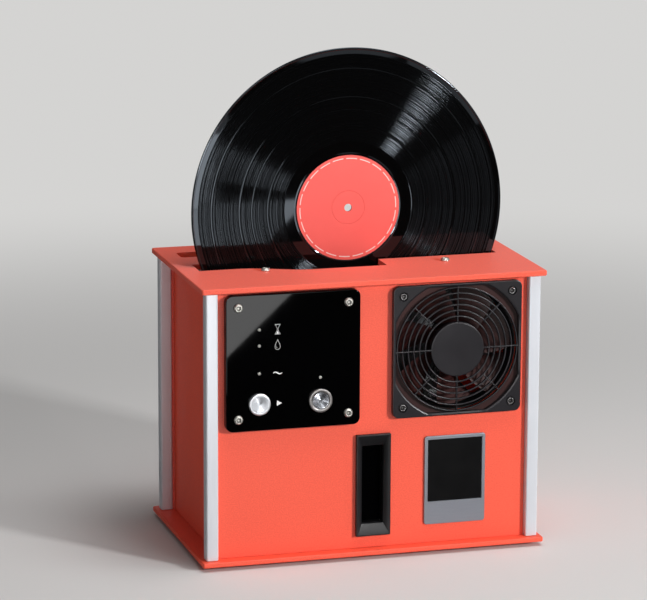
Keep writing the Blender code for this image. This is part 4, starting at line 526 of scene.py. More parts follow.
@dataclass(frozen=True)
class Steel(Finish):
    """Plain steel, faintly mottled."""

    name: str = "plain_steel"
    colour: Colour = shade(176, 177, 180)
    mottle: float = 0.86
    grain: float = 1800.0
    rough: float = 0.34
    more_rough: float = 0.12
    depth: float = 0.00001

    def dress(self, shader: Shader) -> None:
        """Mottles the metal and its roughness by one fine noise.

        Args:
            shader: The material under construction.
        """
        fine = shader.noise(self.grain)
        metal = shader.mix(fine, scaled(self.colour, self.mottle), self.colour)
        shader.fill({
            Channel.COLOUR: self.tone(shader, metal),
            Channel.METALLIC: 1.0,
            Channel.ROUGHNESS: fine.spread(self.rough, self.rough + self.more_rough),
            Channel.NORMAL: self.relief(shader, fine),
        })

    def tone(self, shader: Shader, metal: Socket) -> Socket:
        """Returns the metal's colour, as it is."""
        return metal

    def relief(self, shader: Shader, fine: Socket) -> Socket:
        """Returns the normal, raised by the fine noise."""
        return shader.bump(fine, self.depth)


@dataclass(frozen=True, kw_only=True)
class SpunSteel(Steel):
    """Steel faced on a lathe, with turning lines round a centre."""

    centre: Pair
    slope: float
    least: float = 0.0
    twist: float = 0.0
    pitch: float = 0.00013

    def relief(self, shader: Shader, fine: Socket) -> Socket:
        """Leans the two sides of every turning line opposite ways.

        The place across a line is what is left over of the radius divided by the pitch. The lean grows over
        each side from its least share to the whole slope, and its direction is the spoke's with the twist.

        Args:
            shader: The material under construction.
            fine: The fine noise, which a faced surface doesn't show.

        Returns:
            The leaned normal.
        """
        spoke = shader.radius(self.centre)
        line = (spoke[0] / self.pitch).fraction()
        side = line.below(0.5) * 2 - 1
        steep = (line * 2).fraction().spread(self.least * self.slope, self.slope)
        return shader.leaned(shader.twisted(spoke, self.twist), side * steep)


@dataclass(frozen=True, kw_only=True)
class ScrewHead(Steel):
    """A brushed screw head, with painted shade in the corner of its socket where it has a centre."""

    name: str = "screw_heads"
    colour: Colour = shade(206, 204, 197)
    # The colour of the painted shade in the socket.
    dark: Colour = shade(70, 68, 66)
    rough: float = 0.4
    centre: Pair | None = None
    socket: float = 0.0021

    def tone(self, shader: Shader, metal: Socket) -> Socket:
        """Paints a ring of shade at the foot of the socket, with soft edges at shares of the socket's radius.

        Args:
            shader: The material under construction.
            metal: The metal's own colour.

        Returns:
            The colour with the ring of painted shade.
        """
        if self.centre is None:
            return metal
        radius, _, _ = shader.radius(self.centre)
        within = radius.rise(0.3 * self.socket, 0.55 * self.socket)
        beyond = radius.rise(1.0 * self.socket, 1.1 * self.socket)
        # Painted shade: the dark ring mixed into the metal's colour.
        return shader.mix((within - beyond) * 0.9, metal, self.dark)


@dataclass(frozen=True, kw_only=True)
class Vinyl(Finish):
    """Pressed black vinyl, grooved between its plain bands, with painted shade for the depth of each groove.
    """

    centre: Pair
    inner: float
    outer: float
    gaps: tuple[float, ...]
    name: str = "grooved_vinyl"
    colour: Colour = (0.0016, 0.0016, 0.0017, 1.0)
    dust: Colour = (0.012, 0.012, 0.013, 1.0)
    tint: Colour = (0.78, 0.88, 1.0, 1.0)
    rough: Pair = (0.04, 0.11)
    painted_shade_rough: float = 0.9
    specular: float = 0.5
    gap_width: float = 0.0005
    pitch: float = 0.00013
    wall: Pair = (0.3, 0.46)
    slope: float = 0.287
    # Shares of painted shade on the groove walls, from quiet to loud.
    shaded: Pair = (0.85, 0.995)
    loudness: float = 700.0
    waver: float = 5200.0
    grain: float = 1500.0

    def dress(self, shader: Shader) -> None:
        """Leans the two walls of every groove apart, and paints shade over them with a dark matt shader.

        The place across a groove is what is left over of the radius divided by the pitch. The first wall
        leans outwards, the second inwards, each as wide as the music is loud at that radius. The share of
        painted shade on the walls grows with the same loudness.

        Args:
            shader: The material under construction.
        """
        spoke = shader.radius(self.centre)
        radius = spoke[0]
        grooved = radius.band(self.inner, self.outer, 0.0002)
        for gap in self.gaps:
            grooved = grooved * (1 - radius.band(gap - self.gap_width, gap + self.gap_width, 0.0001))
        loud = shader.waver(radius, self.loudness).rise(0.38, 0.62)
        walls = loud.spread(*self.wall)
        across_groove = (radius / self.pitch).fraction()
        side = across_groove.below(walls) * 2 - across_groove.below(walls * 2)
        steep = shader.noise(self.waver, 0.0).spread(0.7 * self.slope, 1.3 * self.slope)
        dust = shader.noise(self.grain, 1.0).rise(0.76, 0.88)
        shader.fill({
            Channel.COLOUR: shader.mix(dust * 0.4, self.colour, self.dust),
            Channel.ROUGHNESS: (grooved * loud).spread(*self.rough),
            Channel.NORMAL: shader.leaned(spoke, side * steep * grooved),
            Channel.SPECULAR: self.specular,
            Channel.TINT: self.tint,
        })
        # A dark matt shader, mixed in over the groove walls as painted shade for their depth.
        depth = shader.node("ShaderNodeBsdfPrincipled", {}, {
            Channel.COLOUR.value: self.colour,
            Channel.ROUGHNESS.value: self.painted_shade_rough,
            Channel.SPECULAR.value: 0.0,
        })
        painted_groove_shade = across_groove.below(walls * 2) * grooved * loud.spread(*self.shaded)
        shader.show(shader.blend(painted_groove_shade, shader.surface, depth))


@dataclass(frozen=True, kw_only=True)
class LabelPaper(Finish):
    """Printed label paper, with a dashed white ring near its edge."""

    centre: Pair
    name: str = "label_paper"
    colour: Colour = shade(248, 91, 82)
    deep: Colour = shade(236, 77, 68)
    ink: Colour = shade(244, 226, 220)
    rough: Pair = (0.42, 0.6)
    fibre: float = 1600.0
    cloud: float = 45.0
    ring: float = 0.0466
    ring_width: float = 0.00045
    dashes: float = 22.0
    press: float = 0.0158
    press_width: float = 0.0003
    depth: float = 0.0002

    def dress(self, shader: Shader) -> None:
        """Prints a ring, cut into dashes by the sine of the angle, and presses a smaller one into the paper.

        Args:
            shader: The material under construction.
        """
        radius, across, up = shader.radius(self.centre)
        dash = (across.angle(up) * self.dashes).sine().rise(-0.86, -0.72)
        fibre = shader.noise(self.fibre, 3.0)
        cloud = shader.noise(self.cloud)
        ring = radius.band(self.ring - self.ring_width, self.ring + self.ring_width, 0.0001) * dash * 0.8
        press = radius.band(self.press - self.press_width, self.press + self.press_width, 0.00015)
        paper = shader.mix(fibre * 0.5 + cloud * 0.5, self.deep, self.colour)
        shader.fill({
            Channel.COLOUR: shader.mix(ring, paper, self.ink),
            Channel.ROUGHNESS: fibre.spread(*self.rough),
            Channel.NORMAL: shader.bump(fibre * 0.1 - press, self.depth),
        })


@dataclass(frozen=True)
class Rubber(Finish):
    """Matt rubber with a pale bloom."""

    name: str = "black_rubber"
    colour: Colour = shade(34, 34, 35)
    pale: Colour = shade(52, 51, 50)
    grain: float = 1200.0
    bloom: float = 70.0
    rough: Pair = (0.7, 0.92)
    depth: float = 0.00006

    def dress(self, shader: Shader) -> None:
        """Raises the grain by a fine noise, and blooms where a wide one peaks.

        Args:
            shader: The material under construction.
        """
        grain = shader.noise(self.grain, 3.0)
        bloom = shader.noise(self.bloom, 3.0).rise(0.45, 0.8)
        shader.fill({
            Channel.COLOUR: shader.mix(bloom, self.colour, self.pale),
            Channel.ROUGHNESS: grain.spread(*self.rough),
            Channel.NORMAL: shader.bump(grain, self.depth),
        })


@dataclass(frozen=True)
class Fleece(Finish):
    """Short off-white fleece."""

    name: str = "fleece"
    colour: Colour = shade(234, 229, 214)
    deep: Colour = shade(188, 180, 162)
    tufts: float = 900.0
    fluff: float = 2400.0
    rough: Pair = (0.86, 1.0)
    depth: float = 0.0006
    sheen: float = 0.35

    def dress(self, shader: Shader) -> None:
        """Raises a tuft round each of many scattered points, with a finer fluff on them.
        The colour deepens between the tufts as painted shade, and in patches with the fluff.

        Args:
            shader: The material under construction.
        """
        tufts = shader.cells(self.tufts)
        fluff = shader.noise(self.fluff, 3.0)
        shader.fill({
            # Deeper colour between the tufts is painted shade; the fluff's share is patchy tone.
            Channel.COLOUR: shader.mix((tufts * 0.6 + fluff * 0.5).rise(0.2, 0.8), self.colour, self.deep),
            Channel.ROUGHNESS: fluff.spread(*self.rough),
            Channel.NORMAL: shader.bump(1 - tufts + fluff * 0.6, self.depth),
            Channel.SHEEN: self.sheen,
        })


@dataclass(frozen=True)
class ClearPlastic(Finish):
    """Clear moulded plastic with a faint haze."""

    name: str = "clear_plastic"
    colour: Colour = shade(226, 230, 232)
    haze: float = 220.0
    clear: float = 0.6
    rough: float = 0.12
    more_rough: float = 0.12
    bending: float = 1.49

    def dress(self, shader: Shader) -> None:
        """Hazes the colour and the roughness by one noise.

        Args:
            shader: The material under construction.
        """
        haze = shader.noise(self.haze, 3.0)
        shader.fill({
            Channel.COLOUR: shader.mix(haze, scaled(self.colour, 0.9), self.colour),
            Channel.ROUGHNESS: haze.spread(self.rough, self.rough + self.more_rough),
            Channel.TRANSMISSION: self.clear,
            Channel.IOR: self.bending,
        })


@dataclass(frozen=True)
class CircuitBoard(Finish):
    """Green lacquered board with copper runs under the lacquer."""

    name: str = "circuit_board"
    colour: Colour = shade(28, 84, 52)
    run: Colour = shade(58, 124, 76)
    pitch: float = 0.0042
    row_pitch: float = 2.3
    bend: float = 55.0
    grain: float = 600.0
    rough: Pair = (0.25, 0.45)
    depth: float = 0.00004

    def dress(self, shader: Shader) -> None:
        """Lays the runs where two sines, one across and one up, both peak, with a noise to bend them.

        Args:
            shader: The material under construction.
        """
        x, _, z = shader.parts(shader.point())
        bend = shader.noise(self.bend, 0.0)
        runs = ((x + bend * 0.006) * (TURN / self.pitch)).sine().rise(0.5, 0.7)
        rows = ((z + bend * 0.01) * (TURN / (self.pitch * self.row_pitch))).sine().rise(0.2, 0.5)
        copper = runs * rows
        shader.fill({
            Channel.COLOUR: shader.mix(copper, self.colour, self.run),
            Channel.ROUGHNESS: shader.noise(self.grain).spread(*self.rough),
            Channel.NORMAL: shader.bump(copper, self.depth),
        })


@dataclass(frozen=True)
class Foam(Finish):
    """Open-cell filter foam."""

    name: str = "filter_foam"
    colour: Colour = shade(84, 124, 176)
    deep: Colour = shade(38, 66, 108)
    cells: float = 620.0
    rough: Pair = (0.85, 1.0)
    depth: float = 0.0008

    def dress(self, shader: Shader) -> None:
        """Sinks a cell round each of many scattered points, and darkens each cell's pit as painted shade.

        Args:
            shader: The material under construction.
        """
        cells = shader.cells(self.cells)
        shader.fill({
            # Painted shade: the colour deepens towards the bottom of each cell.
            Channel.COLOUR: shader.mix(cells.rise(0.2, 0.6), self.deep, self.colour),
            Channel.ROUGHNESS: cells.spread(*self.rough),
            Channel.NORMAL: shader.bump(cells, self.depth),
        })


@dataclass(frozen=True)
class Enamel(Finish):
    """Stoved enamel, with a slight orange peel."""

    name: str = "black_enamel"
    colour: Colour = shade(9, 9, 10)
    peel: float = 520.0
    cloud: float = 60.0
    rough: float = 0.24
    more_rough: float = 0.15
    specular: float = 0.25
    depth: float = 0.00002

    def dress(self, shader: Shader) -> None:
        """Clouds the colour with a lighter one, and raises the peel by a noise.

        Args:
            shader: The material under construction.
        """
        peel = shader.noise(self.peel)
        cloud = shader.noise(self.cloud)
        patchy = peel * 0.5 + cloud * 0.5
        shader.fill({
            Channel.COLOUR: shader.mix(cloud, self.colour, scaled(self.colour, 1.3, 0.9)),
            Channel.ROUGHNESS: patchy.spread(self.rough, self.rough + self.more_rough),
            Channel.NORMAL: shader.bump(peel, self.depth),
            Channel.SPECULAR: self.specular,
        })


@dataclass(frozen=True)
class SatinMetal(Finish):
    """Cast and brushed metal, satin grey."""

    name: str = "satin_grey"
    colour: Colour = shade(156, 160, 169)
    deep: Colour = shade(134, 138, 146)
    brush: Point = (60.0, 900.0, 1900.0)
    grain: float = 1500.0
    metallic: float = 0.7
    rough: Pair = (0.38, 0.52)
    depth: float = 0.00004

    def dress(self, shader: Shader) -> None:
        """Brushes the metal across by a noise drawn out along X, over a fine cast grain.

        Args:
            shader: The material under construction.
        """
        brush = shader.noise(1.0, 3.0, shader.stretched(self.brush))
        grain = shader.noise(self.grain)
        worked = grain * 0.5 + brush * 0.5
        shader.fill({
            Channel.COLOUR: shader.mix(worked, self.deep, self.colour),
            Channel.METALLIC: self.metallic,
            Channel.ROUGHNESS: grain.spread(*self.rough),
            Channel.NORMAL: shader.bump(worked, self.depth),
        })


CORAL = PowderCoat()
TOP_CORAL = PowderCoat(name="top_powder_coat", haze=0.15)
POSTS = Anodised()
BLACK = Moulded()
BEZEL_BLACK = Moulded(name="bezel_black", colour=shade(22, 21, 25), dark=shade(9, 9, 11), grain=900.0,
                      rough=0.4, depth=0.00005)
# Dark red-brown: the fan blades' colour, and the painted shade of the panel on the ring in the guard's
# opening.
BLADE_AND_SHADE_BROWN = Moulded(name="blade_brown", colour=shade(64, 25, 22), dark=shade(40, 15, 14), rough=0.5,
                      specular=0.25)
FAN_BLACK = Moulded(name="fan_black", colour=shade(20, 20, 21), dark=shade(14, 14, 15), rough=0.55,
                    specular=0.25)
WHITE_ACETAL = Moulded(name="white_acetal", colour=shade(226, 226, 222), dark=shade(214, 214, 209),
                       rough=0.4, depth=0.00002)
BATH_GREY = Moulded(name="bath_grey", colour=shade(132, 135, 138), dark=shade(118, 121, 124), rough=0.45)
HOSE_CLEAR = Moulded(name="silicone_hose", colour=shade(214, 218, 214), dark=shade(200, 204, 200),
                     rough=0.3, depth=0.00002)
FASCIA = PolishedBlack()
WINDOW = PolishedBlack(name="dark_window", colour=(0.0006, 0.0006, 0.0008, 1.0), specular=0.25)
PLAIN_STEEL = Steel()
HEADS = ScrewHead()
# Dark steel heads, whose dark is the colour of the painted shade in their sockets.
DARK_HEADS = ScrewHead(name="dark_screw_heads", colour=shade(138, 136, 136), dark=shade(40, 38, 38),
                       rough=0.28)
RUBBER = Rubber()
FLEECE = Fleece()
CLEAR = ClearPlastic()
LENS = ClearPlastic(name="light_lens", colour=shade(168, 166, 154), clear=0.1, rough=0.2)
BOARD = CircuitBoard()
FOAM = Foam()
ENAMEL = Enamel()
INK = Enamel(name="white_ink", colour=shade(224, 224, 222), rough=0.45)
SATIN = SatinMetal()


@dataclass(frozen=True)
class Tag:
    """Says where a piece belongs: its body, its slot and the nodes that it stands for."""

    body: str
    slot: str
    nodes: tuple[str, ...] = ()


class Form:
    """Gathers grids of points into one mesh."""

    def __init__(self) -> None:
        """Starts with no points."""
        self.points: list[np.ndarray] = []
        self.faces: list[np.ndarray] = []
        self.count = 0

    def grid(self, points: np.ndarray, rows_close: bool = False, columns_close: bool = False) -> "Form":
        """Adds a surface given as rows of points.

        Args:
            points: An array of rows by columns by 3.
            rows_close: Whether the last row joins the first.
            columns_close: Whether the last column joins the first.

        Returns:
            The form itself.
        """
        rows, columns = points.shape[:2]
        index = np.arange(rows * columns).reshape(rows, columns) + self.count
        if rows_close:
            index = np.concatenate([index, index[:1]], axis=0)
        if columns_close:
            index = np.concatenate([index, index[:, :1]], axis=1)
        corners = [index[:-1, :-1], index[1:, :-1], index[1:, 1:], index[:-1, 1:]]
        self.faces.append(np.stack(corners, axis=-1).reshape(-1, 4))
        self.points.append(points.reshape(-1, 3))
        self.count += rows * columns
        return self

    def solid(self, rings: np.ndarray) -> "Form":
        """Adds a closed body carried through rings of points, whose ends close on their middles.

        Args:
            rings: Rings by points by 3.

        Returns:
            The form itself.
        """
        first = np.repeat(rings[:1].mean(axis=1, keepdims=True), rings.shape[1], axis=1)
        last = np.repeat(rings[-1:].mean(axis=1, keepdims=True), rings.shape[1], axis=1)
        return self.grid(np.concatenate([first, rings, last], axis=0), columns_close=True)

    def loop(self, rings: np.ndarray) -> "Form":
        """Adds a closed frame, whose rings of points close on each other."""
        return self.grid(rings, rows_close=True, columns_close=True)

    def mesh(self, name: str) -> bpy.types.Mesh:
        """Merges the doubles, turns the faces outwards and sets the sharp edges.

        Args:
            name: The mesh's name.

        Returns:
            The mesh.
        """
        mesh = bpy.data.meshes.new(name)
        points = np.concatenate(self.points)
        faces = np.concatenate(self.faces)
        mesh.from_pydata(points.tolist(), [], faces.tolist())
        work = bmesh.new()
        work.from_mesh(mesh)
        bmesh.ops.remove_doubles(work, verts=work.verts, dist=MERGE_DISTANCE)
        bmesh.ops.dissolve_degenerate(work, edges=work.edges, dist=MERGE_DISTANCE / 4)
        bmesh.ops.recalc_face_normals(work, faces=work.faces)
        work.to_mesh(mesh)
        work.free()
        mesh.shade_smooth()
        mesh.set_sharp_from_angle(angle=SHARP_ANGLE)
        return mesh


def fit(form: Form, name: str, finish: Finish, tag: Tag, holes: Form | None = None) -> bpy.types.Object:
    """Makes a piece from its form and puts it where it belongs.

    Args:
        form: The piece's surfaces.
        name: The piece's name.
        finish: Its finish.
        tag: Its body, slot and nodes.
        holes: Bodies that are cut out of it.

    Returns:
        The finished piece.
    """
    piece = bpy.data.objects.new(name, form.mesh(name))
    bpy.context.scene.collection.objects.link(piece)
    if holes is not None:
        cut(piece, holes)
    piece.data.materials.clear()
    piece.data.materials.append(finish.material())
    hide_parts(*tag.nodes)
    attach(piece, tag.body)
    LOG.info("%s: %d faces on %s", name, len(piece.data.polygons), tag.body)
    return piece


def cut(piece: bpy.types.Object, holes: Form) -> None:
    """Cuts the holes out of a piece and keeps the result as its own mesh.

    Args:
        piece: The piece.
        holes: Closed bodies where its holes go.
    """
    cutter = bpy.data.objects.new("cutter", holes.mesh("cutter"))
    bpy.context.scene.collection.objects.link(cutter)
    modifier = piece.modifiers.new("holes", "BOOLEAN")
    modifier.operation = "DIFFERENCE"
    modifier.solver = "EXACT"
    modifier.use_self = True
    modifier.object = cutter
    graph = bpy.context.evaluated_depsgraph_get()
    result = bpy.data.meshes.new_from_object(piece.evaluated_get(graph))
    piece.modifiers.clear()
    piece.data = result
    result.shade_smooth()
    result.set_sharp_from_angle(angle=SHARP_ANGLE)
    bpy.data.objects.remove(cutter)


def turned(profile: np.ndarray, centre: Point, axis: Axis, steps: int = 64,
           shape: Callable[[np.ndarray], np.ndarray] | None = None,
           weights: np.ndarray | None = None) -> np.ndarray:
    """Turns a profile about an axis.

    A point of row k at angle t lies radius[k] from the axis and along[k] on it. Where a shape is given,
    the radius is multiplied by 1 + weight[k] * (shape(t) - 1).

    Args:
        profile: Rows of radius and length along the axis.
        centre: The axis's origin.
        axis: The direction of the axis.
        steps: Points round the axis.
        shape: Radius factor by angle.
        weights: How much of the shape each row takes.

    Returns:
        Rows by steps by 3 points.
    """
    angle = np.linspace(0, TURN, steps, endpoint=False)[None, :]
    profile = np.asarray(profile, float)
    radius = profile[:, 0][:, None] * np.ones_like(angle)
    if shape is not None:
        radius = radius * (1 + np.asarray(weights)[:, None] * (shape(angle) - 1))
    along = profile[:, 1][:, None] * np.ones_like(angle)
    first = radius * np.cos(angle)
    second = radius * np.sin(angle)
    order = {Axis.Y: (first, along, second), Axis.Z: (first, second, along)}
    return np.stack(order[axis], axis=-1) + np.asarray(centre, float)


def supported(profile: np.ndarray, reach: float = 0.0004) -> np.ndarray:
    """Adds a point just inside both ends of each long run of a profile, to keep it flat in smooth shading.

    Args:
        profile: Rows of radius and length along the axis.
        reach: How far inside its ends the points lie.

    Returns:
        The profile with its added points.
    """
    profile = np.asarray(profile, float)
    rows = [profile[0]]
    for first, second in zip(profile[:-1], profile[1:]):
        run = float(np.linalg.norm(second - first))
        if run > 3 * reach:
            step = (second - first) * (reach / run)
            rows += [first + step, second - step]
        rows.append(second)
    return np.array(rows)


def hexagon(angle: np.ndarray) -> np.ndarray:
    """Returns a hexagon's radius at each angle: 1 over the cosine of the angle from the middle of a flat."""
    sector = TURN / 6
    return 1 / np.cos(np.mod(angle, sector) - sector / 2)


def arc(centre: Pair, radius: float, start: float, end: float, steps: int = 6) -> np.ndarray:
    """Returns points on an arc, from one angle in degrees to another."""
    angle = np.radians(np.linspace(start, end, steps))
    return np.stack([centre[0] + radius * np.cos(angle), centre[1] + radius * np.sin(angle)], axis=-1)


def rounded(half_width: float, half_height: float, corner: float, steps: int = 6) -> np.ndarray:
    """Draws a rectangle with round corners, as four arcs in turn.

    Args:
        half_width: Half its width.
        half_height: Half its height.
        corner: The radius of its corners.
        steps: Points on each arc.

    Returns:
        Points by 2.
    """
    across = half_width - corner
    up = half_height - corner
    parts = [
        arc((across, up), corner, 0, 90, steps),
        arc((-across, up), corner, 90, 180, steps),
        arc((-across, -up), corner, 180, 270, steps),
        arc((across, -up), corner, 270, 360, steps),
    ]
    return np.concatenate(parts)


def upright(outline: np.ndarray, centre: Pair, depth: float) -> np.ndarray:
    """Stands an outline in the plane of the front at a depth."""
    depths = np.full(len(outline), depth)
    return np.stack([outline[:, 0] + centre[0], depths, outline[:, 1] + centre[1]], axis=-1)


def plate(centre: Pair, half: Pair, corner: float, edge: float,
          front: float, back: float, steps: int = 8) -> np.ndarray:
    """Carries a standing plate's outline forwards, and rolls its front edge by a quarter of an arc.

    Args:
        centre: Its place across and up.
        half: Half its width and height.
        corner: The radius of its corners.
        edge: The radius of its rolled edge.
        front: The depth of its face.
        back: The depth of its back.
        steps: Points on each corner.

    Returns:
        Rings by points by 3.
    """
    rings = [upright(rounded(half[0] - edge / 2, half[1] - edge / 2, corner, steps), centre, back)]
    rings.append(upright(rounded(half[0], half[1], corner, steps), centre, back - edge / 2))
    for turn in np.radians(np.linspace(0, 90, 5)):
        inset = edge * (1 - math.cos(turn))
        depth = front + edge * (1 - math.sin(turn))
        outline = rounded(half[0] - inset, half[1] - inset, max(corner - inset, 0.0001), steps)
        rings.append(upright(outline, centre, depth))
    inset = edge * 1.4
    outline = rounded(half[0] - inset, half[1] - inset, max(corner - inset, 0.0001), steps)
    rings.append(upright(outline, centre, front))
    return np.stack(rings)


def corners_of(node: str) -> tuple[Vector, Vector, Vector]:
    """Returns a node's lowest corner, highest corner and middle."""
    low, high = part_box(node)
    return low, high, (low + high) / 2


@dataclass(frozen=True)
class Screw:
    """A button-head screw with a hexagon socket."""

    radius: float = 0.0042
    height: float = 0.0024
    socket: float = 0.0021
    socket_depth: float = 0.0018
    land: float = 0.0027
    brim: float = 0.28
    shank: float = 0.0019
    gap: float = 0.0001
    finish: ScrewHead = HEADS

    def profile(self) -> tuple[np.ndarray, np.ndarray]:
        """Works out the head's profile, from its underside over the dome into the socket.

        The dome's radius falls evenly from the brim to the land, while its height rises with the sine of a
        quarter turn.

        Returns:
            Rows of radius and height, and each row's share of the socket's hexagon.
        """
        dome = np.linspace(0, 1, 9)
        radius = self.radius - (self.radius - self.land) * dome
        height = self.height * (self.brim + (1 - self.brim) * np.sin(dome * math.pi / 2))
        rows = [(0.0, 0.0), (self.radius * 0.97, 0.0), (self.radius, self.height * 0.1)]
        rows += list(zip(radius, height))
        mouth = self.socket * 1.12
        floor = self.height - self.socket_depth
        tip = self.height - self.socket_depth * 1.1
        rows += [(mouth, self.height), (self.socket, self.height - self.gap)]
        rows += [(self.socket * 0.97, floor), (0.0, tip)]
        weights = np.array([0.0] * (len(rows) - 4) + [1.0] * 3 + [0.0])
        return np.array(rows), weights

    def build(self, name: str, seat: Vector, axis: Axis, node: str) -> bpy.types.Object:
        """Builds the screw's head and shank.

        Args:
            name: The piece's name.
            seat: The middle of the head's underside.
            axis: Y for a screw in the front, Z for one in the top.
            node: The node that it stands for.

        Returns:
            The screw.
        """
        profile, weights = self.profile()
        sign = -1.0 if axis is Axis.Y else 1.0
        profile = profile * np.array([1.0, sign])
        form = Form().grid(turned(profile, tuple(seat), axis, 72, hexagon, weights), columns_close=True)
        low, high, _ = corners_of(node)
        tail = (high.y - seat.y) if axis is Axis.Y else (low.z - seat.z)
        top = -sign * self.gap
        shank = np.array([(0.0, top), (self.shank, top), (self.shank, tail * 0.97), (0.0, tail)])
        form.grid(turned(shank, tuple(seat), axis, 24), columns_close=True)
        finish = self.finish
        # A screw in the front gets its own material, centred on its socket, for the painted shade there.
        if axis is Axis.Y:
            own_name = f"{finish.name}_{node}"
            finish = replace(finish, name=own_name, centre=(seat.x, seat.z), socket=self.socket)
        return fit(form, name, finish, Tag("root", "screws", (node,)))


@dataclass(frozen=True)
class Cabinet:
    """The plates, panels, posts and feet."""

    post_corner: float = 0.0018
    post_edge: float = 0.0004
    steps: int = 8

    def dress(self, nodes: dict[str, bpy.types.Object]) -> None:
        """Gives the sheet-metal nodes and the feet their finishes.

        Args:
            nodes: The frame's nodes, by name.
        """
        for name in ("base_plate", "front_panel", "rear_panel", "left_panel", "right_panel"):
            coat(nodes[name], CORAL)
        coat(nodes["top_plate"], TOP_CORAL)
        for place in CABINET_CORNERS:
            coat(nodes[f"foot_{place}"], RUBBER)

    def post(self, place: str) -> bpy.types.Object:
        """Builds one corner post: a rounded square carried upwards, narrowed at both ends.

        Args:
            place: The corner that it stands in.

        Returns:
            The post.
        """
        node = f"post_{place}"
        low, high, middle = corners_of(node)
        half = (high.x - low.x) / 2
        rings = []
        heights = [(low.z, self.post_edge), (low.z + self.post_edge, 0.0)]
        heights += [(high.z - self.post_edge, 0.0), (high.z, self.post_edge)]
        for height, inset in heights:
            outline = rounded(half - inset, half - inset, self.post_corner, self.steps)
            level = np.full(len(outline), height)
            rings.append(np.stack([outline[:, 0] + middle.x, outline[:, 1] + middle.y, level], axis=-1))
        return fit(Form().solid(np.stack(rings)), f"corner_{node}", POSTS, Tag("root", "posts", (node,)))

    def build(self, nodes: dict[str, bpy.types.Object]) -> None:
        """Builds the cabinet's own pieces and dresses the rest.

        Args:
            nodes: The frame's nodes, by name.
        """
        self.dress(nodes)
        for place in CABINET_CORNERS:
            self.post(place)
        screw = Screw()
        for side in ("left", "right"):
            node = f"top_screw_{side}"
            _, high, middle = corners_of(node)
            seat = Vector((middle.x, middle.y, high.z - screw.height))
            screw.build(f"plate_{node}", seat, Axis.Z, node)


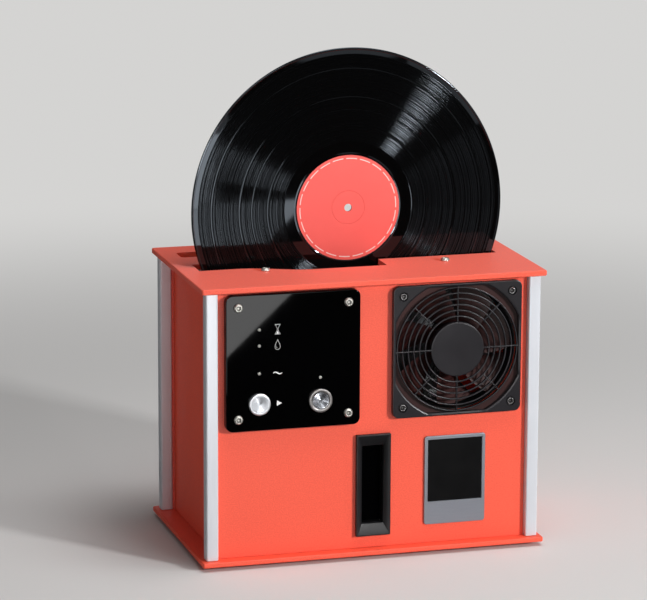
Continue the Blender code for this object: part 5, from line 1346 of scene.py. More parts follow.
@dataclass(frozen=True)
class ControlPanel:
    """The polished panel with its screws, lights and marks, and the light guide and board behind it."""

    corner: float = 0.0065
    edge: float = 0.0006
    light_radius: float = 0.0016
    lens_radius: float = 0.00115
    lens_height: float = 0.00035
    lens_foot: float = 0.0004
    button_bore: float = 0.0094
    beyond: float = 0.001
    ink: float = 0.00007
    line: float = 0.00022
    bold: float = 1.3
    lights: tuple[Pair, ...] = ((-0.1104, 0.2237), (-0.1104, 0.2087), (-0.1104, 0.1828), (-0.0527, 0.1758))
    glass_place: Pair = (-0.0932, 0.2234)
    glass_size: Pair = (0.0026, 0.0045)
    drop_place: Pair = (-0.0932, 0.2092)
    drop_size: Pair = (0.0036, 0.0046)
    wave_place: Pair = (-0.0932, 0.1826)
    wave_size: Pair = (0.0043, 0.0009)
    wave_width: float = 0.0011
    arrow_ends: Pair = (-0.0938, -0.0892)
    arrow_height: float = 0.1543
    arrow_widths: Pair = (0.0052, 0.0002)

    def build(self, nodes: dict[str, bpy.types.Object]) -> None:
        """Builds the panel and everything on it.

        Args:
            nodes: The frame's nodes, by name.
        """
        low, high, middle = corners_of("control_panel")
        half = ((high.x - low.x) / 2, (high.z - low.z) / 2)
        rings = plate((middle.x, middle.z), half, self.corner, self.edge, low.y, high.y, 12)
        bores = [(light, self.light_radius) for light in self.lights]
        for button in ("start_button", "power_button"):
            _, _, place = corners_of(button)
            bores.append(((place.x, place.z), self.button_bore))
        holes = Form()
        for spot, radius in bores:
            holes.solid(self.bore(spot, radius, low.y - self.beyond, high.y + self.beyond))
        fit(Form().solid(rings), "panel_fascia", FASCIA, Tag("root", "fascia", ("control_panel",)), holes)
        self.lenses(low.y)
        self.marks(low.y)
        coat(nodes["light_guide"], CLEAR)
        coat(nodes["circuit_board"], BOARD)
        screw = Screw()
        for place in FACE_CORNERS:
            node = f"panel_screw_{place}"
            front, _, spot = corners_of(node)
            screw.build(f"fascia_{node}", Vector((spot.x, front.y + screw.height, spot.z)), Axis.Y, node)

    def bore(self, centre: Pair, radius: float, front: float, back: float) -> np.ndarray:
        """Returns the two rings of a round hole through the panel."""
        profile = np.array([(radius, front), (radius, back)])
        return turned(profile, (centre[0], 0.0, centre[1]), Axis.Y, 40)

    def lenses(self, face: float) -> None:
        """Builds the four light lenses: low domes, whose height falls with the square of the radius.

        Args:
            face: The depth of the panel's face.
        """
        form = Form()
        share = np.linspace(1, 0, 7)
        dome = np.stack([self.lens_radius * share, -self.lens_height * (1 - share ** 2)], axis=-1)
        profile = np.concatenate([[(0.0, self.lens_foot), (self.lens_radius, self.lens_foot)], dome])
        for across, up in self.lights:
            form.grid(turned(profile, (across, face, up), Axis.Y, 28), columns_close=True)
        fit(form, "light_lenses", LENS, Tag("root", "clear"))

    def stroke(self, path: np.ndarray, width: np.ndarray | float, face: float, form: Form) -> None:
        """Adds an ink stroke: a thin rectangle carried along a path.

        Args:
            path: Points across and up.
            width: The width at each point, or one for all.
            face: The depth of the panel's face.
            form: The form that takes it.
        """
        tangent = np.gradient(path, axis=0)
        tangent = tangent / np.linalg.norm(tangent, axis=1, keepdims=True)
        side = np.stack([-tangent[:, 1], tangent[:, 0]], axis=-1)
        half = (np.ones(len(path)) * width)[:, None] / 2
        left = path + side * half
        right = path - side * half
        near = np.full(len(path), face - self.ink)
        far = np.full(len(path), face - self.ink * 0.1)
        corners = [(left, near), (right, near), (right, far), (left, far)]
        sides = [np.stack([edge[:, 0], depth, edge[:, 1]], axis=-1) for edge, depth in corners]
        form.solid(np.stack(sides, axis=1))

    def marks(self, face: float) -> None:
        """Prints the small marks beside the lights: a sand glass, a drop, a wave and a start arrow.

        Args:
            face: The depth of the panel's face.
        """
        form = Form()
        self.sand_glass(form, face)
        self.drop(form, face)
        share = np.linspace(-1, 1, 25)
        across = self.wave_place[0] + self.wave_size[0] * share
        up = self.wave_place[1] - self.wave_size[1] * np.sin(share * math.pi)
        width = self.wave_width * (1 - 0.55 * np.abs(share) ** 3)
        self.stroke(np.stack([across, up], axis=-1), width, face, form)
        arrow = np.stack([np.linspace(*self.arrow_ends, 4), np.full(4, self.arrow_height)], axis=-1)
        self.stroke(arrow, np.linspace(*self.arrow_widths, 4), face, form)
        fit(form, "panel_marks", INK, Tag("root", "fascia"))

    def sand_glass(self, form: Form, face: float) -> None:
        """Draws a sand glass: two bars, two waisted sides and the sand that has run down.

        Args:
            form: The form that takes it.
            face: The depth of the panel's face.
        """
        centre = self.glass_place
        wide, tall = self.glass_size
        share = np.linspace(-1, 1, 21)
        for end in (-1, 1):
            bar = np.stack([centre[0] + wide * share[::5], np.full(5, centre[1] + end * tall)], axis=-1)
            self.stroke(bar, self.line * self.bold, face, form)
            waist = centre[0] + end * wide * (0.12 + 0.78 * np.abs(share) ** 1.3)
            self.stroke(np.stack([waist, centre[1] + tall * share], axis=-1), self.line, face, form)
        sand = np.linspace(-0.92, -0.3, 8)
        heap = np.stack([np.full(8, centre[0]), centre[1] + tall * sand], axis=-1)
        self.stroke(heap, 2 * wide * 0.6 * np.abs(sand) ** 1.9, face, form)

    def drop(self, form: Form, face: float) -> None:
        """Draws a drop: a circle whose width narrows to a point at the top, and a glint inside it.

        Args:
            form: The form that takes it.
            face: The depth of the panel's face.
        """
        centre = self.drop_place
        wide, tall = self.drop_size
        turn = np.linspace(0.02, 0.98, 33) * TURN
        rise = np.cos(turn)
        narrow = np.sin(turn) * np.sin(turn / 2) ** 1.6
        outline = np.stack([centre[0] + wide * narrow, centre[1] + tall * rise], axis=-1)
        self.stroke(outline, self.line * self.bold, face, form)
        glint = arc((centre[0], centre[1] - 0.25 * tall), wide * 0.5, 190, 265, 9)
        self.stroke(glint, self.line, face, form)


@dataclass(frozen=True)
class PushButton:
    """A flanged housing with a sprung, dished cap."""

    name: str
    flange_radius: float
    flange_height: float
    lip: float
    inner_lip: float
    tone: Colour
    ring_tone: Colour
    rough: float
    spin: float
    least: float = 0.0
    twist: float = 120.0
    ring_rough: float = 0.3
    ring_spin: float = 0.06
    barrel_radius: float = 0.0091
    well: float = 0.0075
    clearance: float = 0.00015
    cap_radius: float = 0.0077
    cap_edge: float = 0.0002
    cap_depth: float = 0.0042
    stem_radius: float = 0.0029
    dish: float = 0.0007

    def build(self) -> None:
        """Builds the housing, a ring with a rolled front edge, and the cap."""
        housing = f"{self.name}_housing"
        front, back, _ = corners_of(housing)
        _, _, middle = corners_of(self.name)
        centre = (middle.x, 0.0, middle.z)
        face = front.y
        seat = face + self.flange_height
        tail = back.y - 0.002
        bore = self.cap_radius + self.clearance
        outer = arc((self.flange_radius - self.lip, face + self.lip), self.lip, 0, -90, 9)
        inner = arc((bore + self.inner_lip, face + self.inner_lip), self.inner_lip, -90, -180, 7)
        rows = np.concatenate([
            [(self.flange_radius, seat)], outer, inner,
            [(bore, face + self.well), (bore * 0.6, face + self.well + 0.0001), (bore * 0.6, tail)],
            [(self.barrel_radius, tail), (self.barrel_radius, seat)],
        ])
        form = Form().loop(turned(rows, centre, Axis.Y, 96))
        spun = SpunSteel(name=f"spun_{self.name}_ring", colour=self.ring_tone, rough=self.ring_rough,
                         centre=(middle.x, middle.z), slope=self.ring_spin)
        fit(form, f"{self.name}_bezel", spun, Tag("root", "screws", (housing,)))
        self.cap(centre)

    def cap(self, centre: Point) -> None:
        """Builds the cap, whose face falls evenly to its middle as a very flat cone.

        Args:
            centre: The origin of its axis.
        """
        front, back, _ = corners_of(self.name)
        face = front.y
        rim = arc((self.cap_radius - self.cap_edge, face + self.cap_edge), self.cap_edge, 0, -90, 5)
        under = face + self.cap_depth
        rows = np.concatenate([
            [(0.0, back.y), (self.stem_radius, back.y)],
            [(self.stem_radius, under + 0.0002), (self.cap_radius, under)],
            rim, supported([(self.cap_radius - 2 * self.cap_edge, face), (0.0, face + self.dish)]),
        ])
        form = Form().grid(turned(rows, centre, Axis.Y, 96), columns_close=True)
        spun = SpunSteel(name=f"spun_{self.name}", colour=self.tone, rough=self.rough,
                         centre=(centre[0], centre[2]), slope=self.spin, least=self.least, twist=self.twist)
        fit(form, f"{self.name}_cap", spun, Tag(self.name, "caps", (self.name,)))


START_BUTTON = PushButton(
    name="start_button", flange_radius=0.0103, flange_height=0.0026, lip=0.0012, inner_lip=0.0002,
    tone=shade(206, 209, 214), ring_tone=shade(236, 238, 242), rough=0.36, spin=0.5)
POWER_BUTTON = PushButton(
    name="power_button", flange_radius=0.0111, flange_height=0.0022, lip=0.0008, inner_lip=0.0012,
    tone=shade(206, 210, 218), ring_tone=shade(160, 156, 154), rough=0.2, spin=0.54, least=0.8)


@dataclass(frozen=True)
class FanGuard:
    """The moulded guard: a square frame, a hub, rings and spokes."""

    corner: float = 0.006
    edge: float = 0.0006
    bevel: float = 0.0012
    bevel_fall: float = 0.58
    opening: float = 0.0658
    flat: float = 0.0595
    hub: float = 0.0256
    hub_edge: float = 0.0009
    ring_first: float = 0.0310
    ring_pitch: float = 0.00545
    ring_count: int = 6
    ring_width: float = 0.0014
    ring_depth: float = 0.0028
    recess: float = 0.0006
    spoke_width: float = 0.0014
    spoke_overlap: float = 0.0012
    crown: float = 0.8
    screw_radius: float = 0.0036
    screw_sink: float = 0.0022
    screw_gap: float = 0.0001
    hole_start: float = 0.001
    hole_flare: float = 0.0012
    hole_mouth: float = 0.0006
    hole_bevel: float = 0.0004
    hole_foot: float = 0.0005
    # The flat ring of painted shade in the opening outside the fan's hole.
    shaded_panel_ring_bore: float = 0.0585
    shaded_panel_ring_thickness: float = 0.0005
    shaded_panel_ring_overlap: float = 0.0005
    steps: int = 480

    def square(self, angle: np.ndarray, half: float) -> np.ndarray:
        """Works out how far a square with round corners reaches at each angle.

        The reach is half over the larger of cosine and sine, and inside a corner it is where the ray
        meets the corner's arc.

        Args:
            angle: The angles.
            half: Half the square's side.

        Returns:
            The reach at each angle.
        """
        large = np.maximum(np.abs(np.cos(angle)), np.abs(np.sin(angle)))
        small = np.minimum(np.abs(np.cos(angle)), np.abs(np.sin(angle)))
        straight = half - self.corner
        total = large + small
        inside = np.maximum((straight * total) ** 2 - 2 * straight ** 2 + self.corner ** 2, 0.0)
        curved = straight * total + np.sqrt(inside)
        return np.where(half * small / large <= straight, half / large, curved)

    def mouth(self, angle: np.ndarray) -> np.ndarray:
        """Returns how far the opening reaches: a circle cut off by four flats."""
        large = np.maximum(np.abs(np.cos(angle)), np.abs(np.sin(angle)))
        return np.minimum(self.opening, self.flat / large)

    def frame(self, centre: Pair, half: float, front: float, back: float) -> Form:
        """Carries the frame's section round: outer side, rolled edge, face, bevel and inner wall.

        Args:
            centre: Its place across and up.
            half: Half its side.
            front: The depth of its face.
            back: The depth of its back.

        Returns:
            The frame.
        """
        kinks = [quarter * TURN / 4 + sign * math.acos(self.flat / self.opening)
                 for quarter in range(4) for sign in (-1, 1)]
        even = np.linspace(0, TURN, self.steps, endpoint=False)
        angle = np.sort(np.concatenate([even, np.mod(kinks, TURN)]))
        outer = self.square(angle, half)
        inner = self.mouth(angle)
        lip = self.edge
        rows = [
            (outer - lip * 0.5, back), (outer, back - lip), (outer, front + lip),
            (outer - lip * 0.3, front + lip * 0.3), (outer - lip, front), (outer - lip * 1.4, front),
            (inner + self.bevel * 1.3, front), (inner + self.bevel, front),
            (inner, front + self.bevel * self.bevel_fall), (inner, back),
        ]
        return Form().loop(np.stack([self.ring(centre, angle, reach, depth) for reach, depth in rows]))

    def ring(self, centre: Pair, angle: np.ndarray, reach: np.ndarray, depth: float) -> np.ndarray:
        """Places points this far from the centre at each angle: by cosine across, by sine up.

        Args:
            centre: The centre's place across and up.
            angle: The angles.
            reach: The distance at each angle.
            depth: Their depth.

        Returns:
            Points by 3.
        """
        across = centre[0] + reach * np.cos(angle)
        up = centre[1] + reach * np.sin(angle)
        return np.stack([across, np.full_like(angle, depth), up], axis=-1)

    def web(self, centre: Pair, front: float, back: float) -> Form:
        """Builds the hub and the rings by turning their sections, and carries out the spokes.

        Args:
            centre: Its place across and up.
            front: The depth of the hub's face.
            back: The depth of the hub's back.

        Returns:
            The web.
        """
        form = Form()
        place = (centre[0], 0.0, centre[1])
        dome = arc((self.hub - self.hub_edge, front + self.hub_edge), self.hub_edge, 0, -90, 6)
        face = supported([(self.hub - self.hub_edge, front), (0.0, front)])
        hub = np.concatenate([[(0.0, back), (self.hub, back)], dome, face[1:]])
        form.grid(turned(hub, place, Axis.Y, 180), columns_close=True)
        near = front + self.recess
        far = near + self.ring_depth
        half = self.ring_width / 2
        for number in range(self.ring_count):
            radius = self.ring_first + number * self.ring_pitch
            foot = half * self.crown
            crown = arc((radius, near + foot), half, 0, -180, 7)
            crown[:, 1] = near + foot + (crown[:, 1] - near - foot) * self.crown
            section = np.concatenate([[(radius + foot, far)], crown, [(radius - foot, far)]])
            form.loop(turned(section, place, Axis.Y, 240))
        last = self.ring_first + (self.ring_count - 1) * self.ring_pitch
        second = self.ring_first + self.ring_pitch
        for quarter in range(4):
            longest = (self.hub * 0.9, self.flat + self.spoke_overlap)
            self.spoke(form, centre, quarter * TURN / 4, longest, (near, far))
            self.spoke(form, centre, (quarter + 0.5) * TURN / 4, (second, last), (near, far))
        return form

    def spoke(self, form: Form, centre: Pair, angle: float, ends: Pair, depths: Pair) -> None:
        """Carries a round-crowned section outwards at an angle.

        Args:
            form: The form that takes it.
            centre: The hub's place across and up.
            angle: The spoke's angle.
            ends: The radii where it starts and ends.
            depths: The depths of its front and back.
        """
        near, far = depths
        half = self.spoke_width / 2
        foot = half * self.crown
        crown = arc((0.0, near + foot), half, 0, -180, 7)
        section = np.concatenate([[(foot, far)], crown, [(-foot, far)]])
        reach = np.array(ends)[:, None]
        side = section[:, 0][None, :]
        depth = section[:, 1][None, :] * np.ones_like(reach)
        across = centre[0] + reach * math.cos(angle) - side * math.sin(angle)
        up = centre[1] + reach * math.sin(angle) + side * math.cos(angle)
        form.solid(np.stack([across, depth, up], axis=-1))

    def shaded_panel_ring(self, centre: Pair, back: float) -> None:
        """Builds a dark flat ring filling the opening outside the fan's hole, as painted shade of the panel.

        Args:
            centre: Its place across and up.
            back: The depth of its back.
        """
        front = back - self.shaded_panel_ring_thickness
        angle = np.linspace(0, TURN, self.steps, endpoint=False)
        outer = self.mouth(angle) + self.shaded_panel_ring_overlap
        inner = np.full_like(angle, self.shaded_panel_ring_bore)
        rows = [(inner, back), (inner, front), (outer, front), (outer, back)]
        form = Form().loop(np.stack([self.ring(centre, angle, reach, depth) for reach, depth in rows]))
        fit(form, "guard_gasket", BLADE_AND_SHADE_BROWN, Tag("root", "black", ("fan_guard",)))

    def build(self) -> None:
        """Builds the guard and its four sunk screws."""
        low, high, middle = corners_of("fan_guard")
        centre = (middle.x, middle.z)
        holes = Form()
        screw = Screw(radius=self.screw_radius, finish=DARK_HEADS)
        for place in FACE_CORNERS:
            node = f"guard_screw_{place}"
            _, _, spot = corners_of(node)
            seat = low.y + self.screw_sink
            before = low.y - self.hole_start
            rows = np.array([(0.0, before), (self.screw_radius + self.hole_flare, before),
                             (self.screw_radius + self.hole_mouth, low.y + self.hole_bevel),
                             (self.screw_radius + self.hole_foot, seat), (0.0, seat)])
            holes.grid(turned(rows, (spot.x, 0.0, spot.z), Axis.Y, 40), columns_close=True)
            screw.build(f"fan_{node}", Vector((spot.x, seat - self.screw_gap, spot.z)), Axis.Y, node)
        self.shaded_panel_ring(centre, high.y)
        frame = self.frame(centre, (high.x - low.x) / 2, low.y, high.y)
        fit(frame, "guard_frame", BLACK, Tag("root", "black", ("fan_guard",)), holes)
        fit(self.web(centre, low.y, high.y), "guard_web", BLACK, Tag("root", "black", ("fan_guard",)))


@dataclass(frozen=True)
class FanRotor:
    """The fan's hub and its swept blades."""

    hub_radius: float = 0.020
    tip_radius: float = 0.0559
    root_radius: float = 0.0188
    blades: int = 7
    thickness: float = 0.0015
    chord: float = 0.115 * TURN
    skew: float = 0.05 * TURN
    length: float = 0.0165
    inset: float = 0.0012
    hub_length: float = 0.019
    hub_edge: float = 0.002
    shaft_radius: float = 0.0025
    shaft_overlap: float = 0.0005
    span_steps: int = 12
    chord_steps: int = 14

    def build(self) -> None:
        """Builds the rotor.

        A blade is a thin lens carried from its root to its tip. At radius r and share s of its width, its
        middle lies at angle start + skew * u + chord * s and at depth front + length * s.
        """
        low, high, middle = corners_of("fan_rotor")
        centre = (middle.x, 0.0, middle.z)
        cap = arc((self.hub_radius - self.hub_edge, low.y + self.hub_edge), self.hub_edge, -90, 0, 7)
        rear = low.y + self.hub_length
        hub = np.concatenate([[(0.0, low.y)], cap, [(self.hub_radius, rear), (0.0, rear)]])
        form = Form().grid(turned(hub, centre, Axis.Y, 96), columns_close=True)
        thick = self.shaft_radius
        start = rear - self.shaft_overlap
        shaft = np.array([(0.0, start), (thick, start), (thick, high.y), (0.0, high.y)])
        form.grid(turned(shaft, centre, Axis.Y, 24), columns_close=True)
        reach = np.linspace(0, 1, self.span_steps)[:, None]
        there = np.linspace(0, 1, self.chord_steps)
        back = np.linspace(1, 0, self.chord_steps)[1:-1]
        share = np.concatenate([there, back])[None, :]
        face = np.concatenate([np.ones_like(there), -np.ones_like(back)])[None, :]
        radius = self.root_radius + (self.tip_radius - self.root_radius) * reach
        belly = self.thickness / 2 * np.sin(np.pi * np.clip(share, 0.02, 0.98)) ** 0.5
        run = radius * self.chord
        slant = np.sqrt(run ** 2 + self.length ** 2)
        for number in range(self.blades):
            angle = number * TURN / self.blades + self.skew * reach + self.chord * (share - 0.5)
            angle = angle - face * belly * self.length / slant / radius
            depth = low.y + self.inset + self.length * share + face * belly * run / slant
            across = centre[0] + radius * np.cos(angle)
            up = centre[2] + radius * np.sin(angle)
            form.solid(np.stack([across, depth, up], axis=-1))
        fit(form, "fan_blades", BLADE_AND_SHADE_BROWN, Tag("fan_rotor", "black", ("fan_rotor",)))


@dataclass(frozen=True)
class LevelWindow:
    """The window bezel with its sloping inner sides, and the pane."""

    corner: float = 0.0005
    rim: float = 0.0014
    throat_side: float = 0.0061
    throat_end: float = 0.0109
    throat_depth: float = 0.0037
    sleeve_wall: float = 0.0016
    flange_back: float = -0.0880
    edge: float = 0.0004
    edge_cut: float = 0.00012
    throat_step: float = 0.0001

    def build(self, nodes: dict[str, bpy.types.Object]) -> None:
        """Carries the bezel's section round: sleeve, flange, flat rim and the slope to the throat.

        Args:
            nodes: The frame's nodes, by name.
        """
        low, high, middle = corners_of("window_bezel")
        half = (high.x - low.x) / 2
        tall = (high.z - low.z) / 2
        front = low.y
        outside = np.array([half, tall])
        throat = outside - (self.throat_side, self.throat_end)
        floor = front + self.throat_depth
        rows = [
            (throat + self.sleeve_wall, high.y), (throat + self.sleeve_wall, self.flange_back),
            (outside, self.flange_back), (outside, front + self.edge),
            (outside - self.edge_cut, front + self.edge_cut), (outside - self.edge, front),
            (outside - self.rim, front), (throat, floor),
            (throat - self.throat_step, floor + 2 * self.throat_step), (throat - self.throat_step, high.y),
        ]
        place = (middle.x, middle.z)
        rings = [upright(rounded(size[0], size[1], self.corner, 5), place, depth) for size, depth in rows]
        form = Form().loop(np.stack(rings))
        fit(form, "window_surround", BEZEL_BLACK, Tag("root", "black", ("window_bezel",)))
        coat(nodes["level_window"], WINDOW)


@dataclass(frozen=True)
class Badge:
    """The bare badge: a raised metal rim and foot band round an enamelled field."""

    corner: float = 0.0025
    edge: float = 0.0005
    rim: float = 0.003
    band: float = 0.0215
    sunk: float = 0.0007
    slope: float = 0.0003
    gap: float = 0.0001
    steps: int = 8

    def build(self) -> None:
        """Carries the plate over its rolled edge, across its rim and down into the field."""
        low, high, middle = corners_of("badge_plate")
        centre = (middle.x, middle.z)
        half = ((high.x - low.x) / 2, (high.z - low.z) / 2)
        rings = plate(centre, half, self.corner, self.edge, low.y, high.y, self.steps)
        field_half = (half[0] - self.rim, half[1] - (self.rim + self.band) / 2)
        field_centre = (middle.x, middle.z + (self.band - self.rim) / 2)
        wide = field_half[0] - self.slope
        tall = field_half[1] - self.slope
        bottom = low.y + self.sunk
        mouth = upright(rounded(*field_half, self.slope + self.gap, self.steps), field_centre, low.y)
        floor = upright(rounded(wide, tall, self.slope, self.steps), field_centre, bottom)
        tag = Tag("root", "badge", ("badge_plate",))
        fit(Form().solid(np.concatenate([rings, mouth[None], floor[None]])), "badge_rim", SATIN, tag)
        field = plate(field_centre, (wide - self.gap, tall - self.gap), self.slope, self.gap,
                      bottom - 2 * self.gap, bottom + 4 * self.gap, self.steps)
        fit(Form().solid(field), "badge_field", ENAMEL, tag)


@dataclass(frozen=True)
class Record:
    """The record: a pressed disc with a bead, bands of grooves and a label on each side."""

    radius: float = 0.1505
    hole: float = 0.0036
    label: float = 0.0497
    run_out: float = 0.0625
    lead_in: float = 0.1444
    gaps: tuple[float, ...] = (0.0782, 0.0932, 0.1052, 0.1318)
    dip: float = 0.00022
    skin: float = 0.00008
    bead: float = 0.0016
    gap_floor: float = 0.0005
    gap_mouth: float = 0.0010
    label_land: float = 0.7
    paper: Pair = (0.68, 0.86)
    steps: int = 360

    def face(self, half: float) -> np.ndarray:
        """Works out one face's profile, from the hole over the label's bed and the gaps to the rim.

        Args:
            half: Half the record's thickness.

        Returns:
            Rows of radius and height above the mid-plane.
        """
        bed = half * self.label_land
        top = half - self.skin
        floor = half - self.dip * 0.8
        rows = [(self.hole, half * 0.55), (self.hole + 0.0004, bed), (self.label + 0.0004, bed),
                (self.label + 0.0009, half), (self.label + 0.0016, half),
                (self.label + 0.0024, half - self.dip), (self.run_out - 0.0006, half - self.dip),
                (self.run_out, top)]
        for gap in self.gaps:
            rows += [(gap - self.gap_mouth, top), (gap - self.gap_floor, floor),
                     (gap + self.gap_floor, floor), (gap + self.gap_mouth, top)]
        rows += [(self.lead_in, top), (self.radius - 0.0022, top - self.dip), (self.radius - 0.0018, half)]
        return supported(rows)

    def build(self) -> None:
        """Turns the disc's profile about its axis, and lays a label on each side."""
        low, high, middle = corners_of("record")
        half = (high.y - low.y) / 2
        centre = (middle.x, middle.y, middle.z)
        face = self.face(half)
        bead = arc((0.0, 0.0), 1.0, 90, -90, 15) * (self.bead, half) + (self.radius - self.bead, 0.0)
        back = face[::-1] * (1.0, -1.0)
        section = np.concatenate([face, bead, back])
        form = Form().loop(turned(section, centre, Axis.Y, self.steps))
        spot = (middle.x, middle.z)
        vinyl = Vinyl(centre=spot, inner=self.run_out, outer=self.lead_in, gaps=self.gaps)
        fit(form, "record_disc", vinyl, Tag("record", "vinyl", ("record",)))
        paper = LabelPaper(centre=spot)
        under, over = self.paper
        sides = ((-1, "record_label_front", ("record_label",)), (1, "record_label_rear", ()))
        for side, name, nodes in sides:
            rows = np.array([(self.hole, under), (self.hole, over), (self.label - 0.0002, over),
                             (self.label, over - 0.02), (self.label, under)]) * (1.0, side * half)
            fit(Form().loop(turned(rows, centre, Axis.Y, 180)), name, paper, Tag("record", "label", nodes))


@dataclass(frozen=True)
class CleaningRollers:
    """The fleece sleeves, with the drive train beneath them."""

    edge: float = 0.0015
    bore: float = 0.0063
    nap: float = 0.00012
    turns: tuple[int, int] = (23, 17)
    climbs: Point = (2900.0, 3700.0, 5100.0)
    steps: int = 96
    levels: int = 60

    def build(self, nodes: dict[str, bpy.types.Object]) -> None:
        """Turns each sleeve and raises its nap by the product of three crossed waves.

        Args:
            nodes: The frame's nodes, by name.
        """
        for place in CABINET_CORNERS:
            node = f"roller_sleeve_{place}"
            low, high, middle = corners_of(node)
            radius = (high.x - low.x) / 2 - self.nap
            levels = np.linspace(low.z + self.edge, high.z - self.edge, self.levels)
            side = np.stack([np.full(self.levels, radius), levels], axis=-1)
            foot = arc((radius - self.edge, low.z + self.edge), self.edge, -90, 0, 5)[:-1]
            head = arc((radius - self.edge, high.z - self.edge), self.edge, 0, 90, 5)[1:]
            rows = np.concatenate([[(self.bore, low.z)], foot, side, head, [(self.bore, high.z)]])
            points = turned(rows, (middle.x, middle.y, 0.0), Axis.Z, self.steps)
            angle = np.linspace(0, TURN, self.steps, endpoint=False)[None, :]
            height = rows[:, 1][:, None]
            ripple = np.sin(angle * self.turns[0] + height * self.climbs[0])
            ripple = ripple * np.sin(angle * self.turns[1] - height * self.climbs[1])
            ripple = ripple * np.cos(height * self.climbs[2])
            outward = points - np.array([middle.x, middle.y, 0.0])
            outward[..., 2] = 0.0
            reach = np.linalg.norm(outward, axis=-1, keepdims=True)
            share = np.where(rows[:, 0] > self.bore + 0.0001, 1.0, 0.0)[:, None, None]
            points = points + outward / reach * (self.nap * ripple[..., None]) * share
            fit(Form().loop(points), f"fleece_{place}", FLEECE, Tag(f"roller_{place}", "fleece", (node,)))
            coat(nodes[f"roller_spindle_{place}"], WHITE_ACETAL)
        coat(nodes["drive_pinion"], WHITE_ACETAL)


@dataclass(frozen=True)
class DrainCap:
    """The ribbed cap on the tank's drain."""

    ribs: int = 28
    rib: float = 0.035

    def build(self) -> None:
        """Turns the cap, whose radius waves round the rim as often as it has ribs."""
        low, high, middle = corners_of("drain_cap")
        radius = (high.x - low.x) / 2
        rear = high.y
        rows = np.array([
            (0.0, low.y), (radius * 0.92, low.y), (radius, low.y + 0.0008), (radius, rear - 0.0016),
            (radius * 0.95, rear - 0.0005), (radius * 0.86, rear), (radius * 0.6, rear),
            (radius * 0.55, rear - 0.0006), (0.0, rear - 0.0006)])
        weights = np.array([0.0, 0.4, 1.0, 1.0, 0.6, 0.0, 0.0, 0.0, 0.0])

        def ribbed(angle: np.ndarray) -> np.ndarray:
            """Returns the radius factor at each angle."""
            return 1 - self.rib * (0.5 + 0.5 * np.cos(angle * self.ribs)) ** 2

        points = turned(rows, (middle.x, 0.0, middle.z), Axis.Y, self.ribs * 10, ribbed, weights)
        form = Form().grid(points, columns_close=True)
        fit(form, "drain_cap_ribbed", BLACK, Tag("root", "black", ("drain_cap",)))


def coat(node: bpy.types.Object, finish: Finish) -> None:
    """Gives a node that stays on show its finish.

    Args:
        node: The node.
        finish: Its finish.
    """
    material = finish.material()
    if not node.material_slots:
        node.data.materials.append(material)
    for slot in node.material_slots:
        slot.material = material
    LOG.info("%s: dressed in %s", node.name, finish.name)


def dress_inside(nodes: dict[str, bpy.types.Object]) -> None:
    """Dresses the nodes inside the cabinet and at its rear.

    Args:
        nodes: The frame's nodes, by name.
    """
    table = {
        BATH_GREY: ("cleaning_bath", "water_tank"),
        PLAIN_STEEL: ("roller_motor", "turning_motor", "ultrasonic_transducer"),
        RUBBER: ("turning_roller", "support_roller"),
        FAN_BLACK: ("fan_frame",),
        BLACK: ("water_pump", "power_inlet"),
        HOSE_CLEAR: ("riser_hose",),
        FOAM: ("filter_cartridge",),
    }
    for finish, names in table.items():
        for name in names:
            coat(nodes[name], finish)


@dataclass(frozen=True)
class Lamp:
    """A soft rectangular lamp that looks at a point."""

    name: str
    place: Point
    aim: Point
    size: Pair
    power: float

    def build(self) -> None:
        """Hangs the lamp."""
        data = bpy.data.lights.new(self.name, "AREA")
        data.shape = "RECTANGLE"
        data.size, data.size_y = self.size
        data.energy = self.power
        lamp = bpy.data.objects.new(self.name, data)
        lamp.visible_camera = False
        bpy.context.scene.collection.objects.link(lamp)
        turn = (Vector(self.aim) - Vector(self.place)).to_track_quat("-Z", "Y")
        lamp.matrix_world = Matrix.Translation(Vector(self.place)) @ turn.to_matrix().to_4x4()


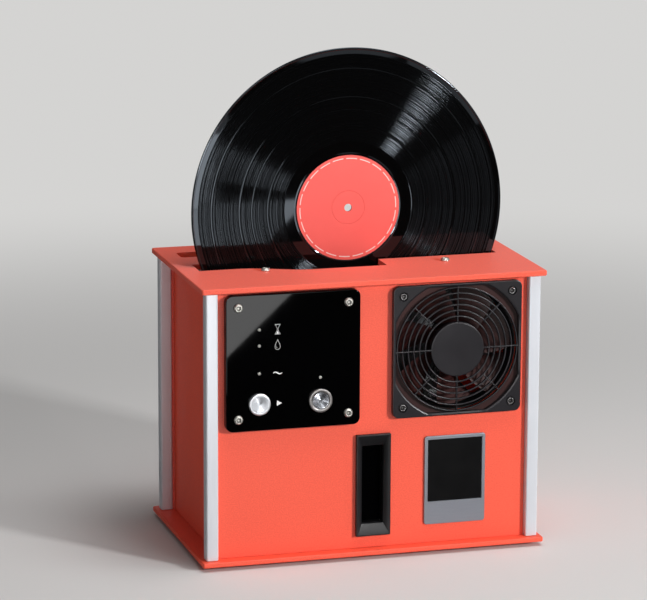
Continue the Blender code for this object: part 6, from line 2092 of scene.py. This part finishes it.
@dataclass(frozen=True)
class Studio:
    """The floor, the lamps and the camera."""

    focal_pixels: float = 3412.41
    frame_width: float = 647.0
    yaw: float = 16.2327
    pitch: float = 12.5544
    roll: float = 0.2311
    stand: Point = (-0.89530, -2.99837, 0.92131)
    floor_size: float = 30.0
    floor_colour: Colour = (0.72, 0.71, 0.70, 1.0)
    floor_fade: Pair = (0.55, 1.7)
    sky: float = 0.13
    backdrop: Colour = (0.66, 0.655, 0.645, 1.0)
    ceiling: Colour = (0.10, 0.10, 0.105, 1.0)
    glows: tuple[tuple[str, float, tuple[Point, ...]], ...] = (
        ("grey_card", 3.8, ((-0.12, -0.68, 0.0166), (-0.03, -0.68, 0.0166), (0.157, -0.68, 0.189),
                            (-0.12, -0.68, 0.189))),
        ("rim_card", 5.0, ((-0.16, -0.68, 0.19), (0.045, -0.68, 0.19), (0.045, -0.68, 0.31),
                           (-0.16, -0.68, 0.31))),
        ("low_card", 32.0, ((-0.9, -2.85, 0.15), (-0.42, -2.95, 0.15), (-0.42, -2.95, 0.6),
                            (-0.9, -2.85, 0.6))),
        ("high_card", 4.5, ((-0.6, -1.25, 1.0), (-0.1, -1.25, 1.0), (-0.1, -1.0, 1.2), (-0.6, -1.0, 1.2))),
    )
    flags: tuple[tuple[str, Point, Point], ...] = (
        ("front_flag", (-0.7, -0.7, 0.002), (1.1, -0.7, 0.3)),
        ("front_floor_flag", (-0.7, -0.7, 0.002), (1.1, -0.13, 0.002)),
        ("side_floor_flag", (-1.2, -0.3, 0.002), (-0.18, 1.6, 0.002)),
        ("rear_flag", (-1.2, 1.6, 0.002), (-0.2, 1.6, 1.2)),
        ("upper_flag", (0.0, -0.7, 0.3), (0.31, -0.7, 0.42)),
    )

    def camera(self) -> None:
        """Sets the camera by its yaw, pitch and roll, looking into the scene along its own minus Z."""
        data = bpy.data.cameras.new("camera")
        data.sensor_width = 36.0
        data.sensor_fit = "HORIZONTAL"
        data.lens = self.focal_pixels / self.frame_width * data.sensor_width
        data.clip_end = 60.0
        camera = bpy.data.objects.new("camera", data)
        bpy.context.scene.collection.objects.link(camera)
        yaw, pitch, roll = (math.radians(angle) for angle in (self.yaw, self.pitch, self.roll))
        ahead = Vector((math.sin(yaw) * math.cos(pitch), math.cos(yaw) * math.cos(pitch), -math.sin(pitch)))
        side = Vector((math.cos(yaw), -math.sin(yaw), 0.0))
        up = side.cross(ahead)
        right = side * math.cos(roll) + up * math.sin(roll)
        top = up * math.cos(roll) - side * math.sin(roll)
        turn = Matrix((right, top, -ahead)).transposed().to_4x4()
        camera.matrix_world = Matrix.Translation(Vector(self.stand)) @ turn
        bpy.context.scene.camera = camera

    def floor(self) -> None:
        """Lays the pale floor, which keeps the shadow near the machine and turns plain further off."""
        half = self.floor_size
        steps = np.linspace(-half, half, 3)
        x, y = np.meshgrid(steps, steps, indexing="ij")
        form = Form().grid(np.stack([x, y, np.zeros_like(x)], axis=-1))
        floor = bpy.data.objects.new("floor", form.mesh("floor"))
        bpy.context.scene.collection.objects.link(floor)
        shader = Shader("floor")
        x, y, _ = shader.parts(shader.point())
        far = (x * x + y * y).root().rise(*self.floor_fade)
        grain = shader.noise(260.0, 3.0)
        shader.fill({
            Channel.COLOUR: shader.mix(grain, scaled(self.floor_colour, 0.97), self.floor_colour),
            Channel.ROUGHNESS: grain.spread(0.75, 0.9),
            Channel.SPECULAR: 0.2,
        })
        glow = shader.node("ShaderNodeEmission", {}, {"Color": self.backdrop})
        shader.show(shader.blend(far * shader.seen(), shader.surface, glow))
        floor.data.materials.append(shader.material)

    def world(self) -> None:
        """Sets an even sky, which the camera, gloss and glass see as a pale backdrop and a darker ceiling."""
        world = bpy.data.worlds.new("studio")
        bpy.context.scene.world = world
        world.use_nodes = True
        graph = Graph(world.node_tree)
        _, _, up = graph.parts(graph.node("ShaderNodeTexCoord", {}, {}, "Generated"))
        pale = graph.mix(up.rise(0.12, 0.55), self.backdrop, self.ceiling)
        dim = graph.node("ShaderNodeBackground", {}, {"Color": (1.0, 1.0, 1.0, 1.0), "Strength": self.sky})
        wall = graph.node("ShaderNodeBackground", {}, {"Color": pale})
        graph.node("ShaderNodeOutputWorld", {}, {"Surface": graph.blend(graph.seen(), dim, wall)})

    def lamps(self) -> None:
        """Hangs the lamps: a key at the right front and a wide, faint one overhead."""
        middle = (0.0, 0.0, 0.2)
        Lamp("key", (1.74, -2.35, 0.95), middle, (0.3, 0.3), 66.0).build()
        Lamp("overhead", (0.35, -0.45, 2.1), middle, (1.1, 1.1), 25.0).build()

    def card(self, name: str, corners: tuple, glow: float) -> None:
        """Hangs a flat four-cornered sheet that only gloss sees, and which glows or, as a flag, is black.

        Args:
            name: The sheet's name.
            corners: Its corners in turn.
            glow: How strongly it glows.
        """
        grid = np.array(corners)[[0, 1, 3, 2]].reshape(2, 2, 3)
        card = bpy.data.objects.new(name, Form().grid(grid).mesh(name))
        bpy.context.scene.collection.objects.link(card)
        shader = Shader(name)
        shader.show(shader.node("ShaderNodeEmission", {}, {"Strength": glow}))
        card.data.materials.append(shader.material)
        card.visible_camera = False
        card.visible_diffuse = False
        card.visible_shadow = False
        card.visible_transmission = False

    def cards(self) -> None:
        """Hangs the cards that the panel and the record mirror, and the flags round them and on the floor."""
        for name, glow, corners in self.glows:
            self.card(name, corners, glow)
        for name, low, high in self.flags:
            if low[1] == high[1]:
                corners = (low, (high[0], low[1], low[2]), high, (low[0], low[1], high[2]))
            else:
                corners = (low, (high[0], low[1], low[2]), high, (low[0], high[1], low[2]))
            self.card(name, corners, 0.0)

    def build(self) -> None:
        """Sets up the studio."""
        self.camera()
        self.floor()
        self.world()
        self.lamps()
        self.cards()
        bpy.context.scene.view_settings.view_transform = "Standard"


def main() -> None:
    """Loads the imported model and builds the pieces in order."""
    logging.basicConfig(level=logging.INFO, format="%(name)s: %(message)s")
    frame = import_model()
    nodes = frame["nodes"]
    Studio().build()
    Cabinet().build(nodes)
    ControlPanel().build(nodes)
    START_BUTTON.build()
    POWER_BUTTON.build()
    FanGuard().build()
    FanRotor().build()
    LevelWindow().build(nodes)
    Badge().build()
    Record().build()
    CleaningRollers().build(nodes)
    DrainCap().build()
    dress_inside(nodes)
    bpy.context.view_layer.update()


if __name__ == "__main__":
    main()
